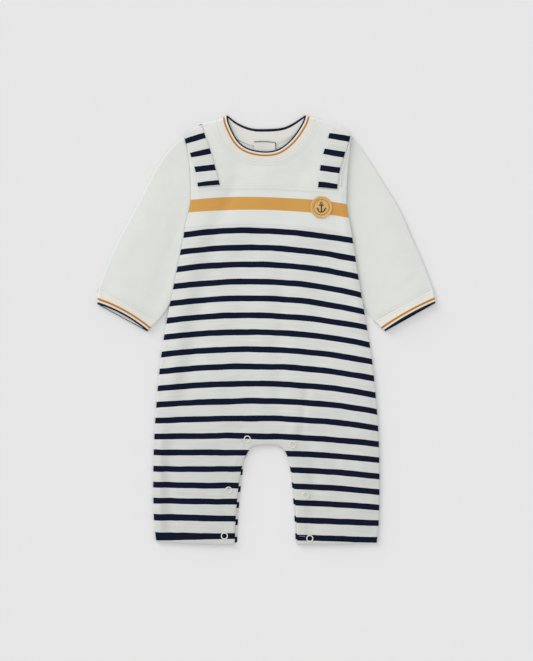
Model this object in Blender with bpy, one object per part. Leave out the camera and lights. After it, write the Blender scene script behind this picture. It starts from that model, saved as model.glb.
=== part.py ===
"""A baby's long-sleeved romper of striped cotton jersey, laid flat on its back.

The garment lies in the XY plane, its neck towards +Y and its front up, and rests on Z = 0. The origin is
under the middle of its outline. Sizes and tables are in millimetres, and the meshes are made in metres.
The back panels lie flat. The front panels lie on them, a little domed between the edges, and the sleeves,
the cuffs and the neck rib are flattened tubes. Left is -X.
"""

import bpy
import numpy as np
from mathutils import Vector
from mathutils.bvhtree import BVHTree
from mathutils.geometry import delaunay_2d_cdt

MM = 0.001

# Cloth and clearances
JERSEY = 1.2  # wall of the jersey
RIB = 1.6  # wall of the neck rib and the cuffs
APPLIQUE = 1.0  # wall of the straps and the neck label
GAP = 0.3  # clearance between two pieces, at a seam or face to face
RIB_PITCH = 3.6  # from one raised rib of the rib knit to the next
RIB_RISE = 0.35  # height of a raised rib

# How the front lies on the back
CROWN = 2.3  # rise of the front between its edges
CROWN_OVER_SLEEVE = 0.6  # share of the rise over a sleeve that the front's own rise takes up
ROLL = 8.0  # width of the soft roll along an edge
SLEEVE_TUCK = 3.0  # how far a sleeve reaches under the front's edge
SLEEVE_LIFT = 1.8  # rise of the front's edge where a sleeve is under it
LIFT_REACH = 14.0  # width over which that rise fades
SLEEVE_LEAVES = 30.0  # height at which the sleeves leave the sides of the body
TUCK_FADE = 28.0  # length over which a sleeve comes out from under the front
UNDERARM = 120.0  # height of the underarms
RIM = 4.5  # distance from an edge to the first row of inner points
SLEEVE_CROWN = 2.6  # rise of a sleeve's upper wall between its folds
SLEEVE_FILLS = 0.3  # share of a sleeve's length over which that rise comes
SLEEVE_ROLL = 0.35  # share of a sleeve's width that each rounded side takes
SLEEVE_STRAIGHTENS = 0.6  # share of a sleeve's length at which its sections have lost the armhole's curve
SLEEVE_FOLD_FADE = 0.15  # share of a sleeve's length over which a fold begins or ends
CUFF_CROWN = 1.3  # rise of a cuff's upper wall between its folds
CUFF_FULLNESS = 0.7  # under 1, it makes that rise broad
MOUTH_LIFT = 1.5  # height of the front of the neck rib over its back
MOUTH_FULLNESS = 0.6  # under 1, it makes that height broad
TURN_HEIGHT = 0.4  # share of the wall by which a tube's turned edge stands over and under its middle
TURN_DROP = 0.15  # drop of a tube's upper wall next to its turned edge
LINER_SLACK = 0.1  # extra clearance inside a tube's turned edges

# Spacing of the points
EDGE_STEP = 8.0
GRID_STEP = 14.0
FINE_STEP = 4.0
SLEEVE_SECTIONS = (0.0, 0.03, 0.1, 0.2, 0.3, 0.4, 0.5, 0.6, 0.7, 0.8, 0.9, 1.0)
SLEEVE_COLUMNS = 9
CUFF_SECTIONS = (0.0, 0.5, 1.0)
CUFF_COLUMNS = 8
NECK_SECTIONS = (0.0, 0.5, 0.96)
NECK_COLUMNS = 26
NECK_TURN = 0.012  # share of the neck rib's length that its turned tip takes
RIB_CLEAR_OF_FOLD = 0.2  # share of the neck rib left plain at each tip, where the front lies on the back
NOSE = (0.0, 1.2, SLEEVE_TUCK + 3.5)  # distances from a tube's turned edge to the points that round it
STRAP_STEP = 7.0
CURVE_SAMPLES = 16  # points on a curve between two rows of its table
TRIANGLE_ROW = 0.87  # height of an even triangle with sides of 1
SAME_POINT = 0.5  # points of an outline nearer than this are one
AT_EDGE = 0.01  # nearer than this to a tube's turned edge is on it
KEEP_INSIDE = 1  # the triangulation's setting that keeps the triangles inside an outline
MERGE_DISTANCE = 1e-4

STRAP_MARGIN = 0.4  # how far a strap stays inside the yoke's edges
BACK_EXTENSION_FADE = 40.0  # length over which the back's inside legs widen

# Neck, from its left tip to its right tip: (across, up)
FRONT_NECK_EDGE = (
    (-48.5, 268.0),
    (-46.5, 258.0),
    (-37.0, 238.5),
    (-24.0, 227.5),
    (-3.5, 223.0),
    (15.0, 226.0),
    (31.5, 239.0),
    (44.0, 257.0),
    (48.0, 268.0),
)
FRONT_NECK_SEAM = (
    (-62.0, 262.0),
    (-59.5, 250.0),
    (-50.0, 231.5),
    (-32.0, 217.0),
    (-3.0, 211.0),
    (22.0, 214.5),
    (42.5, 230.5),
    (56.5, 250.0),
    (61.5, 264.5),
)
BACK_NECK_EDGE = (
    (-48.5, 268.0),
    (-35.5, 258.5),
    (-19.0, 252.0),
    (-1.5, 250.0),
    (18.0, 252.0),
    (31.0, 257.0),
    (48.0, 268.0),
)
BACK_NECK_SEAM = (
    (-62.0, 262.0),
    (-45.0, 247.5),
    (-22.0, 238.5),
    (-1.5, 236.0),
    (20.0, 238.5),
    (43.0, 248.5),
    (61.5, 264.5),
)

# Shoulders, from the neck rib out, and armholes, from the shoulder down: (across, up)
LEFT_SHOULDER = ((-62.0, 262.0), (-81.0, 258.0), (-92.5, 251.0), (-102.5, 243.0))
RIGHT_SHOULDER = ((61.5, 264.5), (74.0, 260.0), (90.0, 253.5), (104.5, 246.0))
LEFT_ARMHOLE = (
    (-102.5, 243.0),
    (-98.5, 224.0),
    (-95.5, 202.5),
    (-94.5, 180.0),
    (-94.8, 162.0),
    (-97.5, 146.0),
    (-101.5, 132.0),
    (-103.0, 120.0),
)
RIGHT_ARMHOLE = (
    (104.5, 246.0),
    (104.0, 225.0),
    (102.0, 205.0),
    (100.5, 182.5),
    (100.0, 164.0),
    (101.0, 149.0),
    (104.0, 134.0),
    (106.5, 120.0),
)

# Sides of the body: (up, left edge, right edge)
SIDES = (
    (120.0, -103.0, 106.5),
    (80.0, -111.0, 112.6),
    (40.0, -118.8, 119.1),
    (0.0, -126.5, 126.1),
    (-40.0, -132.3, 132.1),
    (-80.0, -136.3, 136.3),
    (-120.0, -139.3, 139.4),
    (-160.0, -140.9, 140.9),
    (-200.0, -141.4, 141.2),
    (-240.0, -140.2, 140.3),
    (-264.5, -137.3, 137.8),
)

# Crotch, and the front's inside legs down to the hems: (across, up)
CROTCH = (
    (-22.0, -150.5),
    (-17.5, -145.6),
    (-9.0, -144.0),
    (3.0, -143.7),
    (14.5, -144.5),
    (20.5, -147.5),
    (24.8, -154.0),
)
LEFT_INSEAM = ((-22.0, -150.5), (-28.5, -164.0), (-34.5, -192.0), (-38.4, -234.5), (-39.6, -264.5))
RIGHT_INSEAM = ((24.8, -154.0), (30.3, -172.0), (33.8, -192.0), (37.0, -234.0), (38.6, -265.5))
BACK_EXTENSION_L, BACK_EXTENSION_R = 3.0, 2.0  # how much further in the back's inside legs reach
BACK_SEAM_UP = 128.0  # height of the seam between the back yoke and the back
LEFT_HEM = ((-137.3, -264.5), (-95.0, -266.8), (-52.0, -268.0), (-39.6, -267.4))
RIGHT_HEM = ((38.6, -267.6), (90.0, -267.8), (137.8, -266.0))

# Seams across the front: (across, up)
YOKE_SEAM = ((-94.5, 178.6), (-60.0, 181.8), (0.0, 182.0), (60.0, 178.6), (100.4, 175.4))
BAND_SEAM = (
    (-102.2, 126.5),
    (-60.0, 130.0),
    (-20.0, 131.0),
    (20.0, 130.0),
    (60.0, 126.0),
    (105.6, 119.0),
)

# Large soft folds of the front: (from across, from up, to across, to up, half width, rise)
FRONT_FOLDS = (
    (-118.0, 60.0, -126.0, -90.0, 11.0, 0.8),
    (-88.0, 118.0, -96.0, -30.0, 12.0, -0.8),
    (-60.0, 30.0, -66.0, -170.0, 16.0, 0.7),
    (-20.0, 110.0, -30.0, -60.0, 18.0, -0.5),
    (35.0, 120.0, 42.0, -110.0, 18.0, 0.7),
    (88.0, 90.0, 100.0, -120.0, 14.0, -0.7),
    (118.0, 20.0, 128.0, -150.0, 10.0, 0.7),
    (-112.0, -150.0, -118.0, -258.0, 9.0, -0.7),
    (-84.0, -140.0, -80.0, -262.0, 12.0, 0.9),
    (66.0, -150.0, 62.0, -262.0, 10.0, -0.6),
    (100.0, -160.0, 96.0, -262.0, 13.0, 0.9),
    (-46.0, 206.0, 30.0, 196.0, 9.0, -0.6),
)

# Outer edges of the sleeves, from the shoulder to the cuff: (across, up)
LEFT_SLEEVE_OUTER = (
    (-102.5, 243.0),
    (-118.5, 229.0),
    (-137.5, 203.0),
    (-153.5, 171.5),
    (-171.0, 138.0),
    (-186.5, 109.5),
    (-200.5, 78.0),
    (-210.0, 51.5),
)
RIGHT_SLEEVE_OUTER = (
    (104.5, 246.0),
    (118.0, 228.0),
    (137.0, 198.5),
    (153.0, 172.5),
    (168.5, 147.5),
    (180.5, 116.5),
    (194.5, 87.5),
    (208.2, 50.5),
)
# Inner edges of the sleeves, from where they leave the body to the cuff: (across, up)
LEFT_SLEEVE_FREE = ((-121.6, 30.0), (-128.5, 21.5), (-137.2, 10.6))
RIGHT_SLEEVE_FREE = ((121.6, 30.0), (127.0, 21.0), (135.3, 10.6))
# Cuffs, from the sleeve seam to the mouth: (outer across, outer up, inner across, inner up)
LEFT_CUFF = ((-210.4, 51.2, -137.4, 10.2), (-211.0, 32.4, -148.8, -1.6))
RIGHT_CUFF = ((208.6, 50.2, 135.5, 10.2), (211.0, 33.8, 148.4, -1.4))

# Soft folds along the sleeves: (share of the width, from and to as shares of the length, half width, rise)
SLEEVE_FOLDS = (
    (0.30, 0.10, 0.75, 0.10, 0.7),
    (0.55, 0.25, 1.00, 0.09, -0.7),
    (0.78, 0.05, 0.60, 0.08, 0.6),
)

# Straps, from the shoulder seam to the yoke seam: (left across, left up, right across, right up)
LEFT_STRAP = (
    (-101.5, 241.6, -81.0, 257.0),
    (-95.5, 222.0, -72.8, 232.0),
    (-89.8, 200.5, -64.8, 203.5),
    (-85.4, 180.3, -59.2, 182.6),
)
RIGHT_STRAP = (
    (78.6, 257.2, 103.6, 245.5),
    (73.4, 229.0, 98.6, 221.0),
    (68.6, 203.5, 92.6, 200.0),
    (65.0, 179.2, 89.4, 177.4),
)

PATCH_CENTRE = (68.5, 153.3)
PATCH_RADIUS = 14.0
PATCH_WALL = 1.1
PATCH_RIM_WIDTH = 2.0
PATCH_RIM_RISE = 0.4
PATCH_SIDES = 32

LABEL_LEFT, LABEL_RIGHT = -15.2, 10.9
LABEL_LENGTH = 17.0

# Ring snaps: (across, up)
SNAPS = (
    (-23.9, -135.9),
    (-47.2, -199.6),
    (-52.4, -256.8),
    (32.5, -142.8),
    (48.8, -206.0),
    (54.1, -260.0),
)
SNAP_OUTER = 4.5
SNAP_INNER = 3.1
SNAP_HEIGHT = 0.9
SNAP_SHOULDER = 0.55  # share of a ring's height at which its rounded top begins
SNAP_SIDES = 16

OFF_WHITE = (0.74, 0.76, 0.71, 1.0)
STRIPED = (0.60, 0.62, 0.60, 1.0)
CREAM = (0.76, 0.75, 0.68, 1.0)
MUSTARD = (0.62, 0.35, 0.09, 1.0)
LABEL_WHITE = (0.82, 0.82, 0.80, 1.0)
PEARL = (0.80, 0.79, 0.74, 1.0)
CLOTH_ROUGHNESS, PATCH_ROUGHNESS, PEARL_ROUGHNESS = 0.9, 0.7, 0.25
SHARP_ANGLE = np.radians(40.0)  # edges sharper than this stay crisp


# ---------------------------------------------------------------- curves


def along_line(points):
    """The distance from a line's start to each of its points."""
    return np.concatenate([[0.0], np.cumsum(np.linalg.norm(np.diff(points, axis=0), axis=1))])


def evenly(points, step):
    """The same line with points about this far apart."""
    along = along_line(points)
    count = max(1, round(along[-1] / step))
    at = np.linspace(0.0, along[-1], count + 1)
    return np.column_stack([np.interp(at, along, column) for column in points.T])


def smooth(rows, step):
    """Points about `step` apart on a smooth curve through the rows."""
    rows = np.array(rows, float)
    padded = np.vstack([2 * rows[0] - rows[1], rows, 2 * rows[-1] - rows[-2]])
    t = np.linspace(0.0, 1.0, CURVE_SAMPLES, endpoint=False)[:, None]
    pieces = []
    for a, b, c, d in zip(padded, padded[1:], padded[2:], padded[3:]):
        squared, cubed = 2 * a - 5 * b + 4 * c - d, 3 * b - a - 3 * c + d
        pieces.append(0.5 * (2 * b + (c - a) * t + squared * t**2 + cubed * t**3))
    return evenly(np.vstack(pieces + [rows[-1:]]), step)


def away(points, line):
    """How far each point is from a line of straight pieces."""
    start, span = line[:-1], np.diff(line, axis=0)
    reach = points[:, None, :] - start[None, :, :]
    share = np.clip((reach * span).sum(axis=2) / (span**2).sum(axis=1), 0.0, 1.0)
    return np.linalg.norm(reach - share[:, :, None] * span, axis=2).min(axis=1)


def ramp(value):
    """A smooth step from 0 to 1."""
    value = np.clip(value, 0.0, 1.0)
    return value * value * (3.0 - 2.0 * value)


def at_share(line, share):
    """The place at this share of a line's length."""
    along = along_line(line)
    at = np.atleast_1d(share) * along[-1]
    return np.column_stack([np.interp(at, along, column) for column in line.T])


def cut(line, low, high):
    """The part between two heights of a line that runs down, with its ends exactly there."""
    inside = line[(line[:, 1] < high) & (line[:, 1] > low)]
    ends = []
    for height in (high, low):
        height = np.clip(height, line[:, 1].min(), line[:, 1].max())
        ends.append([np.interp(height, line[::-1, 1], line[::-1, 0]), height])
    return np.vstack([ends[0], inside, ends[1]])


def moved_in(line, distance):
    """A side of the body moved towards the middle by a distance that depends on the height."""
    return np.column_stack([line[:, 0] - np.sign(line[:, 0]) * distance(line[:, 1]), line[:, 1]])


def inset(outline, distance):
    """A closed outline moved inwards; it runs anticlockwise."""
    before = outline - np.roll(outline, 1, axis=0)
    after = np.roll(outline, -1, axis=0) - outline
    before /= np.linalg.norm(before, axis=1)[:, None]
    after /= np.linalg.norm(after, axis=1)[:, None]
    inward = np.column_stack([-before[:, 1] - after[:, 1], before[:, 0] + after[:, 0]])
    length = np.linalg.norm(inward, axis=1)[:, None]
    inward /= length
    return outline + inward * distance * np.minimum(2.0 / np.maximum(length, 1e-6), 2.0)


def closed_outline(*edges):
    """One anticlockwise outline from edges that follow each other."""
    points = np.vstack(edges)
    apart = np.linalg.norm(points - np.roll(points, 1, axis=0), axis=1) > SAME_POINT
    points = points[apart]
    following = np.roll(points, -1, axis=0)
    area = (points[:, 0] * following[:, 1] - points[:, 1] * following[:, 0]).sum()
    return points if area > 0 else points[::-1]


# ---------------------------------------------------------------- the garment's edges

NECK_FRONT = smooth(FRONT_NECK_SEAM, FINE_STEP)
NECK_BACK = smooth(BACK_NECK_SEAM, FINE_STEP)
NECK_EDGE_FRONT = smooth(FRONT_NECK_EDGE, FINE_STEP)
NECK_EDGE_BACK = smooth(BACK_NECK_EDGE, FINE_STEP)
SHOULDER_L, SHOULDER_R = smooth(LEFT_SHOULDER, EDGE_STEP), smooth(RIGHT_SHOULDER, EDGE_STEP)
ARMHOLE_L, ARMHOLE_R = smooth(LEFT_ARMHOLE, EDGE_STEP), smooth(RIGHT_ARMHOLE, EDGE_STEP)
SIDE_L = smooth([(left, up) for up, left, right in SIDES], EDGE_STEP)
SIDE_R = smooth([(right, up) for up, left, right in SIDES], EDGE_STEP)
FLANK_L, FLANK_R = np.vstack([ARMHOLE_L, SIDE_L[1:]]), np.vstack([ARMHOLE_R, SIDE_R[1:]])
CROTCH_LINE = smooth(CROTCH, FINE_STEP)
INSEAM_L, INSEAM_R = smooth(LEFT_INSEAM, EDGE_STEP), smooth(RIGHT_INSEAM, EDGE_STEP)
HEM_L, HEM_R = smooth(LEFT_HEM, EDGE_STEP), smooth(RIGHT_HEM, EDGE_STEP)
YOKE_LINE, BAND_LINE = smooth(YOKE_SEAM, EDGE_STEP), smooth(BAND_SEAM, EDGE_STEP)
TUCKED_L = cut(FLANK_L, SLEEVE_LEAVES, FLANK_L[0, 1])
TUCKED_R = cut(FLANK_R, SLEEVE_LEAVES, FLANK_R[0, 1])


def tuck(up):
    """How far a sleeve reaches under the front's edge at this height."""
    return SLEEVE_TUCK * ramp((up - SLEEVE_LEAVES) / TUCK_FADE)


def back_edge(up):
    """How far the back's edge stays inside the front's, to leave room for the sleeve."""
    return tuck(up) + GAP * ramp((up - SLEEVE_LEAVES + TUCK_FADE) / TUCK_FADE)


def front_under(points):
    """The height of the underside of the front at these places."""
    edges = (SHOULDER_L, SHOULDER_R, FLANK_L, FLANK_R, HEM_L, HEM_R, INSEAM_L, INSEAM_R, CROTCH_LINE)
    nearest = np.min([away(points, edge) for edge in edges], axis=0)
    inland = 1.0 - np.exp(-((nearest / ROLL) ** 2))
    tucked = np.minimum(away(points, TUCKED_L), away(points, TUCKED_R))
    lift = SLEEVE_LIFT * np.exp(-((np.maximum(tucked - SLEEVE_TUCK, 0.0) / LIFT_REACH) ** 2))
    folds = np.zeros(len(points))
    for x0, y0, x1, y1, half_width, rise in FRONT_FOLDS:
        folds += rise * np.exp(-((away(points, np.array([(x0, y0), (x1, y1)])) / half_width) ** 2))
    return JERSEY + GAP + lift + (CROWN - CROWN_OVER_SLEEVE * lift + folds) * inland


def flat_under(height):
    """A panel that lies flat, at this height."""
    return lambda points: np.full(len(points), height)


# ---------------------------------------------------------------- meshes


def is_inside_out(points, faces):
    """Whether a closed mesh has its faces pointing in, from the volume that they hold."""
    volume = 0.0
    for face in faces:
        for b, c in zip(face[1:], face[2:]):
            volume += np.dot(points[face[0]], np.cross(points[b], points[c]))
    return volume < 0.0


def finish_mesh(name, vertices, faces, colour, roughness=CLOTH_ROUGHNESS):
    """An object made from points in millimetres, faces outwards, with its own material."""
    mesh = bpy.data.meshes.new(name)
    points = np.array(vertices) * MM
    if is_inside_out(points, faces):
        faces = [face[::-1] for face in faces]
    mesh.from_pydata(points.tolist(), [], faces)
    mesh.shade_smooth()
    mesh.set_sharp_from_angle(angle=SHARP_ANGLE)
    material = bpy.data.materials.new(name)
    material.use_nodes = True
    shader = material.node_tree.nodes["Principled BSDF"]
    shader.inputs["Base Color"].default_value = colour
    shader.inputs["Roughness"].default_value = roughness
    shader.inputs["Metallic"].default_value = 0.0
    mesh.materials.append(material)
    obj = bpy.data.objects.new(name, mesh)
    bpy.context.scene.collection.objects.link(obj)
    return obj


def inner_points(outline, step):
    """Points inside an outline: a row along its rim, and an even grid behind it."""
    rim = inset(outline, RIM)[::2]
    low, high = outline.min(axis=0), outline.max(axis=0)
    grid = []
    for row, up in enumerate(np.arange(low[1], high[1], step * TRIANGLE_ROW)):
        shift = step / 2 if row % 2 else 0.0
        grid += [(across, up) for across in np.arange(low[0] + shift, high[0], step)]
    grid = np.array(grid)
    grid = grid[is_inside(grid, outline)]
    ring = np.vstack([outline, outline[:1]])
    grid = grid[away(grid, ring) > RIM + 0.5 * step]
    rim = rim[is_inside(rim, outline)]
    rim = rim[away(rim, ring) > 0.8 * RIM]
    return np.vstack([rim, grid])


def is_inside(points, outline):
    """Which points an outline holds, by counting the edges above each."""
    x, y = points[:, 0:1], points[:, 1:2]
    x0, y0 = outline[:, 0], outline[:, 1]
    x1, y1 = np.roll(x0, -1), np.roll(y0, -1)
    spans = (x0 <= x) != (x1 <= x)
    slope = (y1 - y0) / np.where(x1 == x0, 1.0, x1 - x0)
    above = y < y0 + slope * (x - x0)
    return (spans & above).sum(axis=1) % 2 == 1


def panel(name, outline, under, wall, colour, step=GRID_STEP):
    """A piece of cloth cut to an outline, lying at the height that `under` gives.

    `step` is the spacing of its inner points, and None leaves them out.
    """
    outline = inset(outline, GAP / 2)
    places = np.vstack([outline, inner_points(outline, step)]) if step else outline
    ring = list(range(len(outline)))
    points, _, triangles, source, _, _ = delaunay_2d_cdt(
        [Vector(place) for place in places], [], [ring], KEEP_INSIDE, MERGE_DISTANCE
    )
    places = np.array([tuple(point) for point in points])
    low = under(places)
    count = len(places)
    vertices = [(x, y, z) for (x, y), z in zip(places, low)]
    vertices += [(x, y, z + wall) for (x, y), z in zip(places, low)]
    faces = []
    for a, b, c in triangles:
        (ax, ay), (bx, by), (cx, cy) = places[[a, b, c]]
        if (bx - ax) * (cy - ay) < (cx - ax) * (by - ay):
            b, c = c, b
        faces.append((a + count, b + count, c + count))
        faces.append((c, b, a))
    made_from = {old: new for new, olds in enumerate(source) for old in olds}
    ring = [made_from[index] for index in ring]
    for a, b in zip(ring, ring[1:] + ring[:1]):
        faces.append((a, b, b + count, a + count))
    return finish_mesh(name, vertices, faces, colour)


def zip_loops(first, first_at, second, second_at):
    """Triangles between two closed loops of points, each point with its share of the way round."""
    faces = []
    i = j = 0
    while i < len(first) or j < len(second):
        next_i = first_at[i + 1] if i + 1 < len(first) else 1.0
        next_j = second_at[j + 1] if j + 1 < len(second) else 1.0
        step_first = i < len(first) and (j >= len(second) or next_i <= next_j)
        a, b = first[i % len(first)], second[j % len(second)]
        if step_first:
            faces.append((a, first[(i + 1) % len(first)], b))
            i += 1
        else:
            faces.append((a, second[(j + 1) % len(second)], b))
            j += 1
    return faces


def tube(name, rings, colour):
    """A wall open at both ends, from rings of (outer points, inner points, outer shares, inner shares)."""
    outer_size, inner_size = len(rings[0][0]), len(rings[0][1])
    size = outer_size + inner_size
    vertices = [tuple(point) for ring in rings for point in [*ring[0], *ring[1]]]
    faces = []
    for start in range(0, size * (len(rings) - 1), size):
        for k in range(outer_size):
            following = (k + 1) % outer_size
            faces.append((start + k, start + following, start + size + following, start + size + k))
        inner = start + outer_size
        for k in range(inner_size):
            following = (k + 1) % inner_size
            faces.append((inner + size + k, inner + size + following, inner + following, inner + k))
    for start, ring, turn in ((0, rings[0], -1), (size * (len(rings) - 1), rings[-1], 1)):
        outer = list(range(start, start + outer_size))
        inner = list(range(start + outer_size, start + size))
        faces += [face[::turn] for face in zip_loops(outer, ring[2], inner, ring[3])]
    return finish_mesh(name, vertices, faces, colour)


# ---------------------------------------------------------------- flattened tubes: sleeves and cuffs


def across(width, count):
    """Distances over the width of a flattened tube, close together at its folds."""
    nose = np.array(NOSE)
    middle = np.linspace(nose[-1], width - nose[-1], count)[1:-1]
    return np.concatenate([nose, middle, width - nose[::-1]])


def flat_section(place, width, wall, rise, columns, ribs=0):
    """One ring of a flattened tube, with the raised ribs, if any, on its upper side.

    `place` gives the plan, and `rise` the height between its walls, both for shares of the width.
    """
    middle = wall + GAP / 2

    def from_edge(distance):
        return np.minimum(distance, width - distance)

    def top_height(distance):
        height = 2 * wall + GAP + rise(distance / width)
        height = np.where(from_edge(distance) < NOSE[1] + AT_EDGE, 2 * wall + GAP - TURN_DROP, height)
        return np.where(from_edge(distance) < AT_EDGE, middle + TURN_HEIGHT * wall, height)

    def loop(low_at, low, high_at, high):
        shares = np.concatenate([0.5 * high_at / width, 1.0 - 0.5 * low_at[::-1] / width])
        plan = place(np.concatenate([high_at, low_at[::-1]]) / width)
        return np.column_stack([plan, np.concatenate([high, low[::-1]])]), shares

    top_at, bottom_at = across(width, max(columns, 2 * ribs)), across(width, columns)
    top = top_height(top_at)
    if ribs:
        top[len(NOSE) : -len(NOSE) : 2] += RIB_RISE
    bottom = np.where(from_edge(bottom_at) < AT_EDGE, middle - TURN_HEIGHT * wall, 0.0)
    outer, outer_shares = loop(bottom_at, bottom, top_at, top)
    inside_at = wall + LINER_SLACK + across(width - 2 * (wall + LINER_SLACK), columns)
    inside_top = np.maximum(top_height(inside_at) - wall, wall + GAP)
    inner, inner_shares = loop(inside_at, np.full(len(inside_at), wall), inside_at, inside_top)
    return outer, inner, outer_shares, inner_shares


def sleeve(name, outer_rows, flank, free_rows):
    """A sleeve from its armhole, which follows the body's edge, to its cuff, in sections that fan out."""
    armhole = moved_in(cut(flank, UNDERARM, flank[0, 1]), tuck)
    outer = np.vstack([armhole[:1], smooth(outer_rows, EDGE_STEP)])
    tucked = moved_in(cut(flank, SLEEVE_LEAVES + 4.0, UNDERARM), tuck)
    inner = np.vstack([tucked, smooth(free_rows, EDGE_STEP)])
    rings = []
    for share in SLEEVE_SECTIONS:
        start, end = at_share(outer, share)[0], at_share(inner, share)[0]
        width = np.linalg.norm(end - start)

        def place(s, start=start, end=end, share=share):
            bend = at_share(armhole, s) - armhole[0] - np.outer(s, armhole[-1] - armhole[0])
            return start + np.outer(s, end - start) + bend * max(0.0, 1.0 - share / SLEEVE_STRAIGHTENS) ** 2

        def rise(s, share=share, width=width):
            inland = np.clip((np.minimum(s, 1.0 - s) - NOSE[-1] / width) / SLEEVE_ROLL, 0.0, 1.0)
            height = SLEEVE_CROWN * ramp((share - SLEEVE_SECTIONS[1]) / SLEEVE_FILLS) * np.ones(len(s))
            for at, first, last, half_width, fold in SLEEVE_FOLDS:
                along = ramp((share - first) / SLEEVE_FOLD_FADE) * ramp((last - share) / SLEEVE_FOLD_FADE)
                height += fold * along * np.exp(-(((s - at) / half_width) ** 2))
            return np.maximum(height * np.sin(inland * np.pi / 2), 0.0)

        rings.append(flat_section(place, width, JERSEY, rise, SLEEVE_COLUMNS))
    return tube(name, rings, OFF_WHITE)


def cuff(name, rows):
    """A ribbed cuff from the sleeve's seam to its open mouth."""
    first, last = np.array(rows[0]), np.array(rows[1])
    ribs = round(np.linalg.norm(first[2:] - first[:2]) / RIB_PITCH)
    rings = []
    for share in CUFF_SECTIONS:
        row = first + (last - first) * share
        start, end = row[:2], row[2:]
        width = np.linalg.norm(end - start)

        def place(s, start=start, end=end):
            return start + np.outer(s, end - start)

        def rise(s):
            return CUFF_CROWN * np.sin(np.clip(s, 0.0, 1.0) * np.pi) ** CUFF_FULLNESS

        rings.append(flat_section(place, width, RIB, rise, CUFF_COLUMNS, ribs))
    return tube(name, rings, CREAM)


# ---------------------------------------------------------------- neck rib


def neck_ring(share):
    """One ring of the neck rib, at this share of the way from its free edge to its seam.

    Its front lies over its back, and the two are folded into each other at the shoulders.
    """
    front_count = 2 * round(along_line(NECK_FRONT)[-1] / RIB_PITCH) + 1
    back_count = 2 * round(along_line(NECK_BACK)[-1] / RIB_PITCH) + 1
    middle = RIB + GAP / 2
    turn = NECK_TURN

    def front(s):
        return at_share(NECK_EDGE_FRONT, s) * (1.0 - share) + at_share(NECK_FRONT, s) * share

    def back(s):
        return at_share(NECK_EDGE_BACK, s) * (1.0 - share) + at_share(NECK_BACK, s) * share

    def front_low(s, plan):
        free = RIB + GAP + MOUTH_LIFT * np.sin(np.pi * s) ** MOUTH_FULLNESS
        sewn = np.maximum(front_under(plan), RIB + GAP)
        return free * (1.0 - share) + sewn * share

    def raised(s, count):
        odd = np.arange(count) % 2
        return RIB_RISE * odd * (np.minimum(s, 1.0 - s) > RIB_CLEAR_OF_FOLD)

    high_s = np.concatenate([[0.0], np.linspace(turn, 1.0 - turn, front_count), [1.0]])
    plan = front(high_s)
    high = front_low(high_s, plan) + RIB
    high[1:-1] += raised(high_s[1:-1], front_count)
    high[[0, -1]] = middle + TURN_HEIGHT * RIB
    low_s = np.concatenate([[0.0], np.linspace(turn, 1.0 - turn, NECK_COLUMNS), [1.0]])
    low = np.zeros(len(low_s))
    low[[0, -1]] = middle - TURN_HEIGHT * RIB
    outer = np.vstack([np.column_stack([plan, high]), np.column_stack([back(low_s), low])[::-1]])
    outer_shares = np.concatenate([0.5 * high_s, 1.0 - 0.5 * low_s[::-1]])

    under_s = np.linspace(turn, 1.0 - turn, NECK_COLUMNS)
    plan = front(under_s)
    under = np.column_stack([plan, front_low(under_s, plan)])
    top_s = np.linspace(1.5 * turn, 1.0 - 1.5 * turn, back_count)
    top = np.column_stack([back(top_s), RIB + raised(top_s, back_count)])
    inner = np.vstack([under, top[::-1]])
    inner_shares = np.concatenate([0.5 * under_s, 1.0 - 0.5 * top_s[::-1]])
    return outer, inner, outer_shares, inner_shares


# ---------------------------------------------------------------- what lies on the cloth


def on_top(obj):
    """A function that gives the height of this object's upper face, with a clearance, at any places."""
    tree = BVHTree.FromPolygons([v.co for v in obj.data.vertices], [p.vertices for p in obj.data.polygons])

    def height(points):
        found = []
        for across_mm, up_mm in points:
            above = Vector((MM * across_mm, MM * up_mm, 1.0))
            hit = tree.ray_cast(above, Vector((0.0, 0.0, -1.0)))[0]
            if hit is None:
                hit = tree.find_nearest(Vector((above.x, above.y, 0.01)))[0]
            found.append(hit.z / MM + GAP)
        return np.array(found)

    return height


def strap(name, rows, yoke):
    """A strap sewn flat on the yoke, from the shoulder seam to the yoke seam."""
    left = smooth([row[:2] for row in rows], STRAP_STEP)
    right = smooth([row[2:] for row in rows], STRAP_STEP)
    shoulder, waist = np.array([left[0], right[0]]), np.array([right[-1], left[-1]])
    outline = closed_outline(evenly(shoulder, STRAP_STEP), right, evenly(waist, STRAP_STEP), left[::-1])
    return panel(name, inset(outline, STRAP_MARGIN), on_top(yoke), APPLIQUE, STRIPED, STRAP_STEP)


def turned(name, centre, profile, count, height, colour, roughness):
    """A closed shape turned from points of (radius, rise), resting on the cloth all round.

    A profile that starts at radius 0 ends there too, and any other is closed into a ring.
    """
    vertices, rings = [], []
    for radius, lift in profile:
        turns = 1 if radius == 0.0 else count
        angles = 2 * np.pi * np.arange(turns) / count
        plan = np.column_stack([centre[0] + radius * np.cos(angles), centre[1] + radius * np.sin(angles)])
        rings.append([len(vertices) + k for k in range(turns)])
        vertices += [(x, y, z + lift) for (x, y), z in zip(plan, height(plan))]
    faces = []
    if profile[0][0] > 0.0:
        rings.append(rings[0])
    for low, high in zip(rings, rings[1:]):
        for k in range(count):
            lower = (low[k % len(low)], low[(k + 1) % len(low)])
            upper = (high[(k + 1) % len(high)], high[k % len(high)])
            faces.append(tuple(dict.fromkeys(lower + upper)))
    return finish_mesh(name, vertices, faces, colour, roughness)


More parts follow.
